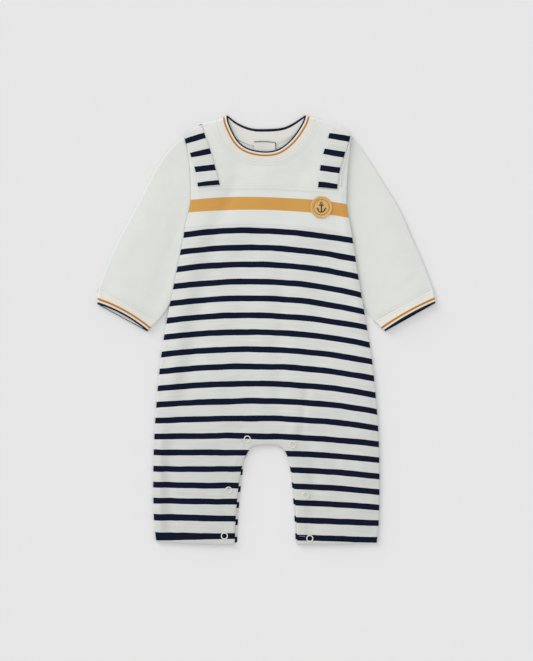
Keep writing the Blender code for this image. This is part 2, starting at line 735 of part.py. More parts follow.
def snap_ring(name, centre, front):
    """An open prong ring of a snap, pressed on the cloth."""
    middle = (SNAP_INNER + SNAP_OUTER) / 2
    profile = (
        (SNAP_INNER, 0.0),
        (SNAP_OUTER, 0.0),
        (SNAP_OUTER, SNAP_SHOULDER * SNAP_HEIGHT),
        (middle, SNAP_HEIGHT),
        (SNAP_INNER, SNAP_SHOULDER * SNAP_HEIGHT),
    )
    return turned(name, centre, profile, SNAP_SIDES, on_top(front), PEARL, PEARL_ROUGHNESS)


def patch(name, band):
    """A round patch with a raised rim, flat in the middle."""
    flat = PATCH_RADIUS - PATCH_RIM_WIDTH
    profile = (
        (0.0, 0.0),
        (PATCH_RADIUS, 0.0),
        (PATCH_RADIUS, PATCH_WALL),
        ((PATCH_RADIUS + flat) / 2, PATCH_WALL + PATCH_RIM_RISE),
        (flat, PATCH_WALL),
        (0.0, PATCH_WALL),
    )
    return turned(name, PATCH_CENTRE, profile, PATCH_SIDES, on_top(band), MUSTARD, PATCH_ROUGHNESS)


# ---------------------------------------------------------------- the garment


def front_panels():
    """The yoke, the chest band and the striped front with both legs."""
    seam_l, seam_r = YOKE_LINE[0, 1], YOKE_LINE[-1, 1]
    band_l, band_r = BAND_LINE[0, 1], BAND_LINE[-1, 1]
    yoke = closed_outline(
        NECK_FRONT,
        SHOULDER_R,
        cut(FLANK_R, seam_r, FLANK_R[0, 1]),
        YOKE_LINE[1:-1][::-1],
        cut(FLANK_L, seam_l, FLANK_L[0, 1])[::-1],
        SHOULDER_L[::-1],
    )
    band = closed_outline(
        YOKE_LINE[1:-1],
        cut(FLANK_R, band_r, seam_r),
        BAND_LINE[1:-1][::-1],
        cut(FLANK_L, band_l, seam_l)[::-1],
    )
    body = closed_outline(
        BAND_LINE[1:-1],
        cut(FLANK_R, FLANK_R[-1, 1], band_r),
        HEM_R[::-1],
        INSEAM_R[::-1],
        CROTCH_LINE[::-1],
        INSEAM_L,
        HEM_L[::-1],
        cut(FLANK_L, FLANK_L[-1, 1], band_l)[::-1],
    )
    return (
        panel("front_yoke", yoke, front_under, JERSEY, OFF_WHITE),
        panel("chest_band", band, front_under, JERSEY, OFF_WHITE),
        panel("front_body", body, front_under, JERSEY, STRIPED),
    )


def back_panels():
    """The back yoke and the striped back with both legs, flat on the ground."""
    flank_l, flank_r = moved_in(FLANK_L, back_edge), moved_in(FLANK_R, back_edge)
    clear = SLEEVE_TUCK + GAP
    yoke = closed_outline(
        NECK_BACK,
        SHOULDER_R[away(SHOULDER_R, FLANK_R) > clear],
        cut(flank_r, BACK_SEAM_UP, flank_r[0, 1]),
        cut(flank_l, BACK_SEAM_UP, flank_l[0, 1])[::-1],
        SHOULDER_L[away(SHOULDER_L, FLANK_L) > clear][::-1],
    )

    def further_in(line, extension):
        added = extension * ramp((line[0, 1] - line[:, 1]) / BACK_EXTENSION_FADE)
        return np.column_stack([line[:, 0] - np.sign(line[:, 0]) * added, line[:, 1]])

    body = closed_outline(
        cut(flank_r, flank_r[-1, 1], BACK_SEAM_UP),
        HEM_R[::-1],
        further_in(INSEAM_R, BACK_EXTENSION_R)[::-1],
        CROTCH_LINE[::-1],
        further_in(INSEAM_L, BACK_EXTENSION_L),
        HEM_L[::-1],
        cut(flank_l, flank_l[-1, 1], BACK_SEAM_UP)[::-1],
    )
    panel("back_yoke", yoke, flat_under(0.0), JERSEY, OFF_WHITE, None)
    panel("back_body", body, flat_under(0.0), JERSEY, STRIPED, None)


def neck_label():
    """A label that hangs from the back neck seam, on the inside of the back yoke."""
    top = np.interp((LABEL_LEFT + LABEL_RIGHT) / 2, NECK_BACK[:, 0], NECK_BACK[:, 1]) - 2 * GAP
    corners = [
        (LABEL_LEFT, top),
        (LABEL_LEFT, top - LABEL_LENGTH),
        (LABEL_RIGHT, top - LABEL_LENGTH),
        (LABEL_RIGHT, top),
    ]
    panel("neck_label", np.array(corners), flat_under(JERSEY + GAP), APPLIQUE, LABEL_WHITE, None)


def build():
    for obj in list(bpy.data.objects):
        bpy.data.objects.remove(obj)
    yoke, band, body = front_panels()
    back_panels()
    tube("neck_rib", [neck_ring(share) for share in NECK_SECTIONS], CREAM)
    neck_label()
    sleeve("sleeve_left", LEFT_SLEEVE_OUTER, FLANK_L, LEFT_SLEEVE_FREE)
    sleeve("sleeve_right", RIGHT_SLEEVE_OUTER, FLANK_R, RIGHT_SLEEVE_FREE)
    cuff("cuff_left", LEFT_CUFF)
    cuff("cuff_right", RIGHT_CUFF)
    strap("strap_left", LEFT_STRAP, yoke)
    strap("strap_right", RIGHT_STRAP, yoke)
    patch("chest_patch", band)
    for number, centre in enumerate(SNAPS, 1):
        snap_ring(f"snap_ring_{number}", centre, body)


build()
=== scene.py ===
"""The looks of a baby's striped romper that lies flat on its back.

Every piece of cloth is a thin shell on the form of its solid in the frame, with finer edges, folds and knit.
Tables are in millimetres, as (across, up) on the surface that the garment lies on, and left is -X. A piece's
UV map, "cloth", holds the place on the flat cloth, in millimetres: along a row of stitches, then across rows.
"""

import math

import bmesh
import bpy
import numpy as np
from bpy.props import FloatProperty, FloatVectorProperty, IntProperty, PointerProperty
from mathutils import Matrix, Vector
from mathutils.bvhtree import BVHTree
from mathutils.geometry import delaunay_2d_cdt
from mathutils.kdtree import KDTree


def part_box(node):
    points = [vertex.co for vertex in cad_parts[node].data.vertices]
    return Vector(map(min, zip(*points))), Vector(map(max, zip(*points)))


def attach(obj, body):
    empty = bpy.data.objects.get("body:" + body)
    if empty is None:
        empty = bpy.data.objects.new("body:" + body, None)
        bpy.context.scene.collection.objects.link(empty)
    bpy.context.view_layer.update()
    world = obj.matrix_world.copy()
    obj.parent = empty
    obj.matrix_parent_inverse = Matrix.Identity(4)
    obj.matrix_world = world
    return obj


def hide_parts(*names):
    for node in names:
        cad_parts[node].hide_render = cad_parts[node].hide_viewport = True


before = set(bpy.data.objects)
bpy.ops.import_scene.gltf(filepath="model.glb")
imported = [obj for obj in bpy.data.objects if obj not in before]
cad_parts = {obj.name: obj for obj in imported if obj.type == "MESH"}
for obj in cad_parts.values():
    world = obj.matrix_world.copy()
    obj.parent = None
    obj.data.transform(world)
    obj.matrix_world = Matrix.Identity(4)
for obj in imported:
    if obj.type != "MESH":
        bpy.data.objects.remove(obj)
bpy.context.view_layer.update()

bl_info = {
    "name": "Striped romper",
    "version": (1, 0, 0),
    "blender": (4, 5, 0),
    "location": "3D View > Sidebar > Romper",
    "description": "Dresses the solids of a baby's romper in jersey, rib knit, stitching and snaps",
    "category": "Object",
}

MM = 0.001

# ---------------------------------------------------------------- patterns on the cloth

STRIPE_PITCH = 21.2  # from one stripe to the next on the flat cloth
STRIPE_HALF = 3.7
STRIPE_COLUMNS = (-120.0, -60.0, 0.0, 60.0, 120.0)  # places across for the rows below
STRIPE_HEIGHTS = (
    (116.0, 123.2, 123.6, 118.6, 109.4), (94.8, 102.0, 102.6, 97.3, 86.5),
    (74.4, 80.8, 81.7, 76.5, 65.0), (53.9, 59.3, 60.2, 55.2, 43.0), (33.0, 38.6, 39.4, 34.4, 22.8),
    (12.3, 17.5, 18.0, 13.6, 4.1), (-7.9, -3.2, -2.8, -7.1, -16.8), (-29.4, -24.7, -24.2, -28.3, -37.3),
    (-50.2, -46.1, -45.5, -49.2, -57.8), (-71.6, -67.7, -66.9, -70.2, -78.2),
    (-92.1, -89.2, -88.5, -91.3, -98.7), (-112.2, -110.5, -110.2, -112.7, -119.7),
    (-132.6, -131.7, -132.5, -135.2, -140.0), (-152.6, -152.7, -153.4, -155.6, -160.0),
    (-173.1, -173.3, -173.7, -175.6, -180.4), (-193.2, -193.9, -194.3, -195.9, -200.1),
    (-213.0, -213.8, -214.5, -216.1, -219.8), (-233.8, -234.9, -236.3, -237.9, -239.9),
    (-257.3, -257.2, -258.0, -259.4, -261.3),
)
LAST_STRIPES_WIDEN = ((17, 0.45), (18, 1.5))  # (row above, extra half width at the left side)
WIDEN_FROM, WIDEN_TO = -50.0, -135.0  # places across between which they widen

# The back's stripes at the inside legs lie a little lower on the left leg and higher on the right
BACK_SHIFT_ACROSS = (-141.0, -60.0, -35.0, 35.0, 60.0, 141.0)
BACK_SHIFT = (0.0, 4.6, 4.6, -1.3, -1.3, 0.0)

# The coloured stripe on the chest: (across, top, bottom)
CHEST_STRIPE = (
    (-105.0, 161.6, 146.4), (-50.0, 165.9, 149.6), (0.0, 165.7, 149.9), (50.0, 163.2, 147.0),
    (80.0, 160.4, 143.7), (107.0, 155.8, 139.2),
)
CHEST_STRIPE_WIDTH = 16.0

# Bars on the straps, from the shoulder down: (left across, top, bottom, right across, top, bottom)
LEFT_STRAP_BARS = (
    (-106.0, 256.0, 248.6, -81.2, 264.0, 256.0), (-102.2, 238.6, 231.6, -75.8, 246.6, 239.4),
    (-95.4, 220.6, 214.8, -69.2, 227.2, 219.8), (-89.8, 203.8, 196.4, -63.9, 206.9, 199.3),
    (-85.8, 183.7, 178.7, -59.1, 187.2, 181.2),
)
RIGHT_STRAP_BARS = (
    (82.5, 264.5, 257.0, 107.0, 259.5, 252.0), (77.2, 246.2, 238.8, 104.6, 241.8, 234.4),
    (71.6, 226.2, 219.2, 98.4, 222.4, 214.8), (67.2, 206.0, 198.6, 92.6, 202.8, 195.2),
    (64.6, 185.4, 177.9, 89.4, 181.9, 175.9),
)
STRAP_WIDTH = 25.0
# The straps' outlines, anticlockwise from the lower outer corner
LEFT_STRAP = (
    (-85.2, 178.4), (-57.9, 180.4), (-63.2, 200.5), (-69.0, 221.0), (-75.8, 240.5), (-81.0, 257.4),
    (-91.4, 250.8), (-102.2, 243.8), (-100.9, 235.0), (-94.3, 217.5), (-88.9, 200.0),
)
RIGHT_STRAP = (
    (64.3, 177.4), (88.0, 175.5), (91.5, 199.0), (97.3, 218.6), (103.3, 236.0), (104.7, 244.2),
    (93.0, 250.0), (81.6, 254.6), (77.0, 240.0), (71.4, 221.5), (67.0, 202.0),
)
RIGHT_STRAP_FOLD = (106.0, 242.6, 99.9, 219.0, 94.0, 197.0, 92.0, 178.6)
FOLD_SIZE = (1.7, 0.9)  # its width and thickness
STRAP_WALL, STRAP_GRID = 1.0, 1.8
BAR_PITCH = 20.0
BAR_HALF = 3.65

# ---------------------------------------------------------------- folds and seams

# Main folds of the front: (half width, rise, then the line: across, up, across, up, ...)
FRONT_FOLDS = (
    (12.0, -1.4, (-32, 216, -40, 180, -53, 150, -64, 125, -73, 81,
                  -79, 38, -90, -6, -100, -62, -114, -112, -119, -150)),
    (10.0, 1.0, (-66, 160, -80, 125, -92, 81, -98, 38, -107, -6, -115, -62, -126, -112)),
    (34.0, -0.9, (-30, 140, -46, 80, -52, 30, -66, -30, -78, -90)),
    (9.0, -1.6, (-119, -130, -122, -200, -121, -262)),
    (6.0, 1.7, (-131, -118, -133, -200, -132, -262)),
    (32.0, -0.9, (102, -130, 106, -200, 106, -262)),
    (8.0, -0.9, (-40, 192, -45, 168, -52, 148)),
    (15.0, -1.0, (58, 212, 40, 192, 24, 174)),
    (16.0, 0.7, (-8, 205, -2, 172, 2, 140)),
    (8.0, -0.8, (17, -22, 16, -70, 19, -112, 30, -132)),
    (10.0, 0.6, (-3, -18, -2, -75, -6, -125)),
    (5.0, -1.1, (52, -66, 47, -98, 44, -134)),
    (9.0, -1.7, (40, -118, 50, -142, 57, -170, 59, -210, 58, -262)),
    (12.0, -0.5, (-30, 118, -34, 60, -30, 5)),
    (8.0, -0.8, (20, 108, 20, 40, 18, 0, 17, -30)),
    (10.0, 0.6, (-3, 100, -2, 40, -2, -20)),
    (14.0, -0.6, (62, 108, 66, 30, 72, -60)),
    (13.0, 0.5, (92, 70, 100, -20, 104, -110)),
    (7.0, 1.4, (92, 180, 98, 150, 103, 122, 111, 70, 119, 14, 123, -24)),
    (9.0, -0.9, (84, -140, 90, -190, 98, -228)),
    (8.0, 0.5, (112, -120, 118, -190, 114, -258)),
    (11.0, 0.5, (-60, -60, -64, -130)),
    (10.0, 0.4, (-58, -168, -62, -210, -56, -250)),
    (7.0, -0.6, (-34, -118, -26, -137, -24, -152)),
    (6.0, 0.5, (34, -118, 30, -132, 27, -150)),
    (22.0, -0.5, (-70, -232, -60, -256)),
    (5.0, 0.5, (126, -60, 132, -150, 133, -240)),
)
# Smaller, shorter folds that cross them
FRONT_CREASES = (
    (4.5, -0.5, (-128, -186, -100, -196)), (5.0, 0.4, (-100, -176, -64, -182)),
    (4.5, -0.4, (54, -184, 84, -192)), (5.0, -0.5, (-28, -126, -52, -118)),
    (5.0, -0.4, (36, -132, 62, -122)), (4.0, -0.35, (66, -230, 96, -224)),
    (5.0, 0.35, (-20, -40, -48, -62)), (4.5, -0.35, (22, -6, 46, -28)), (4.0, 0.3, (-96, 86, -70, 78)),
    (4.5, -0.35, (72, 96, 98, 84)),
)
# Creases that run out over an edge
EDGE_CREASES = (
    (1.5, -0.75, (-28.8, -134, -25.6, -148.6, -28, -166)), (3.0, -0.5, (40, -134, 43, -148, 47, -160)),
    (3.0, -0.4, (-136, -150, -124, -158)),
)
LEFT_SLEEVE_FOLDS = (
    (11.0, -0.5, (-122, 190, -150, 120, -176, 62)), (9.0, 0.4, (-112, 150, -134, 90, -152, 42)),
    (7.0, -0.4, (-108, 108, -126, 60)), (10.0, 0.35, (-140, 178, -170, 118, -190, 72)),
    (6.0, -0.4, (-196, 66, -172, 50, -156, 36)), (8.0, -0.4, (-108, 214, -122, 196)),
)
RIGHT_SLEEVE_FOLDS = (
    (12.0, -0.45, (116, 188, 140, 118, 160, 60)), (9.0, 0.35, (134, 176, 160, 120, 178, 74)),
    (7.0, -0.35, (116, 96, 128, 56)), (8.0, 0.3, (112, 140, 124, 96, 140, 44)),
    (6.0, -0.4, (192, 72, 170, 54, 152, 38)), (8.0, -0.4, (112, 216, 126, 192)),
)
# The inside legs are doubled with a facing that carries the snaps
FACING_WIDTH = 13.0
FACING_RISE = 0.45
HEM_WIDTH = 14.0
HEM_RISE = 0.3
# Stitches that show in the last stripes, above the hems
HEM_MARKS = ((-49.5, -253.4, -41.4, -252.6), (40.2, -257.0, 49.6, -257.6))
SEAM_ALLOWANCE = 6.5
CROTCH_WIDTH, CROTCH_TOP = 84.0, -140.0  # the inside legs lie in this width, and under this height
FRONT_SWELL, SLEEVE_SWELL = 0.35, 0.2  # small unevenness of the cloth
BACK_FADE = 14.0  # the same as FOLD_FADE for the back
SEAM_RISE = 0.3

# Spacing and rounding of the cloth's points
EDGE_ROWS = (0.35, 1.0, 2.1)  # distances of the rows of points along an edge
EDGE_STEP = 2.0
EDGE_DROP = 0.35  # share of the wall by which an outer edge is rounded down
EDGE_REACH = 0.7
SEAM_DROP = 0.05  # the same at a seam
SEAM_REACH = 0.5
EDGE_ROLL = 0.6  # how far the front's outer sides roll down, over this reach
EDGE_ROLL_REACH = 7.0
ROLL_ACROSS = (70.0, 90.0)  # the roll starts and is full at these distances from the middle
ROLL_UP = (-40.0, 0.0)  # and at these heights
WAIST_DIP = 0.3  # depth of the groove above the striped front, over this reach
WAIST_REACH = 0.9
DOUBLED_OUT, DOUBLED_IN = 1.5, 2.5  # widths of the slopes at the two sides of doubled cloth
SEAM_CLOSE = 0.14  # how far a panel grows to close the gap at its seams
CORNER = math.radians(34.0)
SETTLE_ROUNDS = 26
CURVE_SAMPLES = 16
CURVE_STEP = 2.0  # distance between the points of a smooth line
TRIANGLE_ROW = 0.87  # height of an even triangle with sides of 1
KEEP_INSIDE = 1  # the triangulation's setting that keeps the triangles inside an outline
FOLD_FADE = 5.0  # distance from the garment's edge at which folds reach most of their depth

# ---------------------------------------------------------------- neck rib and cuffs

FRONT_NECK_EDGE = (
    (-48.5, 268.0), (-46.5, 258.0), (-37.0, 238.5), (-24.0, 227.5), (-3.5, 223.0), (15.0, 226.0),
    (31.5, 239.0), (44.0, 257.0), (48.0, 268.0),
)
FRONT_NECK_SEAM = (
    (-62.0, 262.0), (-59.5, 250.0), (-50.0, 231.5), (-32.0, 217.0), (-3.0, 211.0), (22.0, 214.5),
    (42.5, 230.5), (56.5, 250.0), (61.5, 264.5),
)
BACK_NECK_EDGE = (
    (-48.5, 268.0), (-35.5, 258.5), (-19.0, 252.1), (-1.5, 251.2), (18.0, 252.5), (31.0, 257.2),
    (48.0, 268.0),
)
BACK_NECK_SEAM = (
    (-62.0, 262.0), (-45.0, 247.5), (-22.0, 238.5), (-1.5, 236.0), (20.0, 238.5), (43.0, 248.5),
    (61.5, 264.5),
)
# The same seam where it shows, lower in the middle
BACK_NECK_LINE = (
    (-62.0, 262.0), (-47.0, 245.5), (-33.0, 236.2), (-16.5, 229.8), (-1.5, 228.6), (14.0, 231.6),
    (29.0, 238.8), (46.0, 248.0), (61.5, 264.5),
)
BACK_NECK_JOIN = -14.2  # where the rib's ends meet, and the width of the edge line changes
NECK_ROWS = (0.0, 0.03, 0.08, 0.16, 0.28, 0.4, 0.55, 0.7, 0.85, 0.97, 1.0)
NECK_RIBS = 92  # along the front, and again along the back
RIB_POINTS = 5  # columns of points for each rib
RIB_RISE = 0.28
RIBS_START = 0.12  # share of a rib band's width in which its ribs rise
EDGE_TAPER = ((NECK_ROWS[1], 0.45), (NECK_ROWS[2], 0.85))  # thickness of a band up to a share of its width
MOUTH_LIFT = 1.5  # height of the front neck edge over the back
MOUTH_FULLNESS = 0.6
NECK_CLEARANCE = 0.3  # between the front and the back of the neck rib
NECK_FOLD = 0.012  # share of the rib's length in which it folds at a shoulder
NECK_CUT, CUFF_CUT = 17.0, 22.0  # widths that the ribs are cut to
# What changes along the back of the neck: (places across), (values there)
BACK_SEAM_OPENS = ((-20.0, 8.0), (0.12, -0.2))
BACK_END_THINS = ((-12.0, 6.0), (0.0, 0.45))
BACK_LINE_WIDTHS = (1.85, 1.7)  # how much wider the dark line is there, right and left of the join
FRONT_SEAM_SHIFT = -0.25  # how far the rib's front is moved sideways from its seam line
SEWN_DEPTH = 1.12  # how far its underside lies below the yoke's top there, in walls

# Cuffs: from the sleeve seam to the mouth: (outer across, outer up, inner across, inner up)
LEFT_CUFF = ((-210.4, 51.2, -137.4, 10.2), (-211.0, 32.4, -148.8, -1.6))
RIGHT_CUFF = ((208.6, 50.2, 135.5, 10.2), (211.0, 33.8, 148.4, -1.4))
CUFF_ROWS = (0.0, 0.03, 0.1, 0.22, 0.36, 0.5, 0.64, 0.78, 0.9, 0.97, 1.0)
CUFF_RIBS = 44
CUFF_CROWN = 1.3
CUFF_FULLNESS = 0.7
CUFF_GAP = 0.3  # between the cuff's two sides at the folds
CUFF_FOLD = 2.0  # rounding of the folds
# How far the upper side of a cuff's mouth stays behind the lower side
LEFT_SET_BACK = 3.8
RIGHT_SET_BACK = 2.2
CUFF_OVERLAP = 1.0  # how far a cuff reaches over the gap to its sleeve

# The knit's looks: scales of its streaks, slant of its stitches and softness of its colour changes
STREAK_ACROSS, STREAK_ROWS = 0.022, 0.5
STITCH_SLANT = 0.55
LOOP_RISE, GROOVE_RISE, FUZZ_RISE = 0.28, 0.4, 0.8  # parts of the relief, as shares of its depth
YARN_CHANGE = 0.05  # how much the yarn's shade varies
BAND_EDGE = 0.14
LINE_EDGE = 0.12
PAINTED_SHADE_ROWS = (5.0, 18.0)  # the stripes between which the striped cloth's colour is painted darker: painted shade for light that falls off towards the legs
# How much darker the striped cloth is painted at the last of those stripes: painted shade
STRIPES_PAINTED_SHADE = 0.09

# Knitted-in lines along a rib's free edge: the dark line's width, the coloured line's two sides as
# distances from the edge, and the dark line's width on the inside
NECK_LINES = (1.9, 4.0, 6.3, 1.9)
LEFT_CUFF_LINES = (2.2, 4.3, 6.8, 0.9)
RIGHT_CUFF_LINES = (2.2, 4.3, 6.8, 2.6)

# ---------------------------------------------------------------- trims

CAMERA_PLACE = (0.0001, -0.0005)  # across and up, in metres
LAMP_PLACE = (-0.68, 0.70, 0.28)  # low at the upper left: only its direction counts
PATCH_CENTRE = (68.5, 153.3)
PATCH_RADIUS = 13.7
PATCH_WALL = 1.0
BORDER_WIDTH = 2.1  # the oversewn border of the patch
BORDER_STITCHES = 210
BORDER_SHADE, RING_SHADE, MOTIF_SHADE = 1.04, 0.3, 2.0  # threads beside the patch's gold and the navy
RING_RADIUS, RING_WIDTH = 9.6, 0.45
PATCH_THREAD_SIDES = 5
SNAPS = (
    (-23.9, -135.9), (-47.2, -199.6), (-52.4, -256.8), (32.5, -142.8), (48.8, -206.0), (54.1, -260.0),
)
SNAP_OUTER = 4.4
SNAP_INNER = 3.1
SNAP_HEIGHT = 0.9
SNAP_SIDES = 48
SNAP_DENTS = 5  # where the ring's prongs are clenched
SNAP_PULL = 0.45  # depth of the dimple that a snap pulls in the cloth, over this reach
SNAP_PULL_REACH = 6.0
LABEL = (-15.4, 10.9, 218.6, 235.0)  # left, right, bottom, top
LABEL_COLUMNS, LABEL_ROWS = 26, 14
LABEL_WALL = 0.5
# The height of a sleeve's upper side beside the body: at the body's edge, a little further out, and how
# much it rises for each millimetre from there to the last distance, where it takes the sleeve's own form
LEFT_SLEEVE_START = (3.7, 4.1, 0.0, 55.0)
RIGHT_SLEEVE_START = (0.8, 1.1, 0.015, 95.0)
START_REACH = {"left": 1.0, "right": 25.0}  # how far the height at the body's edge reaches
UNDER_BODY = 3.0  # greatest height of a sleeve under the front
SLEEVE_TURN = math.radians(28.0)  # how far a sleeve's columns of stitches lean
SLEEVE_LEVELS = 3
RIM_ANGLE, RIM_CREASE = math.radians(55.0), 0.8  # the rims of a sleeve, and how sharp they stay
# Folds of the back, which rise from the ground a little
BACK_FOLDS = (
    (9.0, 0.5, (-40, 120, -62, 40, -70, -60)), (8.0, 0.4, (50, 150, 44, 60, 60, -40)),
    (7.0, 0.5, (20, -20, 26, -90, 44, -130)), (8.0, 0.4, (-100, -60, -108, -150, -100, -230)),
    (6.0, 0.4, (-60, -170, -84, -214)), (7.0, 0.4, (78, -150, 92, -232)),
    (9.0, 0.4, (-60, 200, -10, 186, 50, 196)),
)


def length(name, description, default):
    """A length that a user can change."""
    return FloatProperty(name=name, description=description, default=default, unit="LENGTH")


def colour(name, description, default):
    """A colour that a user can change, as linear values."""
    return FloatVectorProperty(name=name, description=description, default=default, size=3, subtype="COLOR")


class RomperCloth(bpy.types.PropertyGroup):
    """The cloth: its walls, its folds and its knit."""

    jersey_wall: length("Jersey wall", "Thickness of the jersey", 0.0012)
    rib_wall: length("Rib wall", "Thickness of the rib knit", 0.0016)
    grid: length("Grid", "Distance between the points of a panel", 0.0019)
    folds: FloatProperty(
        name="Folds", description="Depth of the folds, as a share of their tables",
        default=1.0, subtype="FACTOR",
    )
    wale: length("Wale", "Width of one column of stitches", 0.00115)
    course: length("Course", "Height of one row of stitches", 0.00085)
    knit_depth: length("Knit depth", "Relief of the stitches", 0.00012)


class RomperColours(bpy.types.PropertyGroup):
    """The colours, as linear values."""

    off_white: colour("Off-white", "Plain jersey of yoke, chest and sleeves", (0.730, 0.750, 0.713))
    ground: colour("Stripe ground", "Light ground between the stripes", (0.688, 0.704, 0.670))
    navy: colour("Navy", "Stripes and edge lines", (0.0036, 0.0076, 0.0245))
    mustard: colour("Mustard", "The coloured stripe on the chest", (0.63, 0.33, 0.083))
    ochre: colour("Ochre", "The coloured line along the ribs", (0.53, 0.195, 0.006))
    cream: colour("Cream", "Rib knit of the neck and the cuffs", (0.75, 0.748, 0.69))
    label: colour("Label", "Ribbon of the neck label", (0.72, 0.72, 0.675))
    gold: colour("Patch", "Ground of the chest patch", (0.79, 0.49, 0.17))
    pearl: colour("Pearl", "Enamel of the snap rings", (0.74, 0.73, 0.665))


class RomperStitches(bpy.types.PropertyGroup):
    """The sewing."""

    stitch: length("Stitch", "Length of one stitch", 0.0021)
    pitch: length("Pitch", "Distance from one stitch to the next", 0.0027)
    thread: length("Thread", "Thickness of the thread", 0.0003)
    twin: length("Twin needle", "Distance between two rows of stitches", 0.0046)
    sides: IntProperty(name="Sides", description="Sides of a stitch", default=6)


class RomperStage(bpy.types.PropertyGroup):
    """The camera, the light and the ground."""

    camera_height: length("Camera height", "Height of the camera over the ground", 2.0)
    view_height: length("View height", "Height of the picture on the ground", 0.82625)
    key_strength: FloatProperty(name="Key strength", description="Strength of the key light", default=1.58)
    key_softness: FloatProperty(
        name="Key softness", description="Angle that the key light fills",
        default=math.radians(26.0), unit="ROTATION",
    )
    fill: FloatProperty(name="Fill", description="Brightness of the light all round", default=0.855)
    ground: colour("Ground", "Colour of the ground", (0.80, 0.80, 0.80))


# ---------------------------------------------------------------- lines and outlines


def direction(line):
    """The direction of a line at each of its points, and the one to its left."""
    along = np.gradient(line, axis=0)
    along /= np.linalg.norm(along, axis=1)[:, None]
    return along, np.column_stack([-along[:, 1], along[:, 0]])


def offset_line(line, distance):
    """A line moved sideways, to its left as it runs."""
    return line + distance * direction(line)[1]


def pairs(numbers):
    """The points of a line that is written as across, up, across, up."""
    return np.array(numbers, float).reshape(-1, 2)


def along_line(points):
    """The distance from a line's start to each of its points."""
    return np.concatenate([[0.0], np.cumsum(np.linalg.norm(np.diff(points, axis=0), axis=1))])


def evenly(points, step):
    """The same line with points about this far apart."""
    along = along_line(points)
    count = max(1, round(along[-1] / step))
    at = np.linspace(0.0, along[-1], count + 1)
    return np.column_stack([np.interp(at, along, column) for column in points.T])


def smooth(rows, step=CURVE_STEP):
    """Points about `step` apart on a smooth curve through the rows."""
    rows = np.array(rows, float)
    padded = np.vstack([2 * rows[0] - rows[1], rows, 2 * rows[-1] - rows[-2]])
    t = np.linspace(0.0, 1.0, CURVE_SAMPLES, endpoint=False)[:, None]
    pieces = []
    for a, b, c, d in zip(padded, padded[1:], padded[2:], padded[3:]):
        squared, cubed = 2 * a - 5 * b + 4 * c - d, 3 * b - a - 3 * c + d
        pieces.append(0.5 * (2 * b + (c - a) * t + squared * t**2 + cubed * t**3))
    return evenly(np.vstack(pieces + [rows[-1:]]), step)


def nearest_on(points, line):
    """How far each point is from a line, and the share of the line's length at its nearest place."""
    tree = KDTree(len(line))
    for index, (across, up) in enumerate(line):
        tree.insert((across, up, 0.0), index)
    tree.balance()
    nearest = np.array([tree.find((across, up, 0.0))[1] for across, up in points])
    span = np.diff(line, axis=0)
    lengths = np.linalg.norm(span, axis=1)
    before = along_line(line)
    distance, place = np.full(len(points), np.inf), np.zeros(len(points))
    for segment in (np.maximum(nearest - 1, 0), np.minimum(nearest, len(span) - 1)):
        reach = points - line[segment]
        share = (reach * span[segment]).sum(axis=1) / np.maximum(lengths[segment] ** 2, 1e-9)
        share = np.clip(share, 0.0, 1.0)
        apart = np.linalg.norm(reach - share[:, None] * span[segment], axis=1)
        closer = apart < distance
        distance = np.where(closer, apart, distance)
        place = np.where(closer, (before[segment] + share * lengths[segment]) / before[-1], place)
    return distance, place


def away(points, line):
    """How far each point is from a line."""
    return nearest_on(points, line)[0]


def ramp(value):
    """A smooth step from 0 to 1."""
    value = np.clip(value, 0.0, 1.0)
    return value * value * (3.0 - 2.0 * value)


def bell(distance, reach):
    """1 at no distance, and about a third at this reach."""
    return np.exp(-((distance / reach) ** 2))


def between(values, limits):
    """A smooth step from 0 to 1 between two limits."""
    return ramp((values - limits[0]) / (limits[1] - limits[0]))


def doubled(inwards, width):
    """The share of its rise that doubled cloth has at this distance from its outer side."""
    return ramp((width - inwards) / DOUBLED_IN) * ramp(inwards / DOUBLED_OUT)


def at_share(line, share):
    """The places at these shares of a line's length."""
    along = along_line(line)
    at = np.atleast_1d(share) * along[-1]
    return np.column_stack([np.interp(at, along, column) for column in line.T])


def inset(outline, distance):
    """A closed anticlockwise outline moved inwards."""
    before = outline - np.roll(outline, 1, axis=0)
    after = np.roll(outline, -1, axis=0) - outline
    before /= np.linalg.norm(before, axis=1)[:, None]
    after /= np.linalg.norm(after, axis=1)[:, None]
    inward = np.column_stack([-before[:, 1] - after[:, 1], before[:, 0] + after[:, 0]])
    length = np.linalg.norm(inward, axis=1)[:, None]
    return outline + inward / length * distance * np.minimum(2.0 / np.maximum(length, 1e-6), 2.0)


def is_inside(points, outline):
    """Which points an outline holds, by counting the edges above each."""
    x0, y0 = outline[:, 0], outline[:, 1]
    x1, y1 = np.roll(x0, -1), np.roll(y0, -1)
    slope = (y1 - y0) / np.where(x1 == x0, 1.0, x1 - x0)
    x, y = points[:, 0:1], points[:, 1:2]
    above = ((x0 <= x) != (x1 <= x)) & (y < y0 + slope * (x - x0))
    return above.sum(axis=1) % 2 == 1


def ring_of(outline):
    """A closed outline as a line that ends where it starts."""
    return np.vstack([outline, outline[:1]])


# ---------------------------------------------------------------- what the frame gives


def merged_solid(node):
    """A CAD node's mesh with its doubles merged."""
    solid = bmesh.new()
    solid.from_mesh(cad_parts[node].data)
    bmesh.ops.remove_doubles(solid, verts=solid.verts, dist=1e-6)
    solid.normal_update()
    return solid


def upper_rim(node):
    """The outline of a panel's upper side, anticlockwise, in millimetres."""
    solid = merged_solid(node)
    following = {}
    for face in solid.faces:
        if face.normal.z < 0.5:
            continue
        for loop in face.loops:
            other = [f for f in loop.edge.link_faces if f is not face]
            if other and other[0].normal.z < 0.5:
                following[loop.vert.index] = loop.link_loop_next.vert.index
    start = next(iter(following))
    order = [start]
    while following[order[-1]] != start:
        order.append(following[order[-1]])
    solid.verts.ensure_lookup_table()
    rim = np.array([solid.verts[i].co[:2] for i in order]) / MM
    solid.free()
    return rim


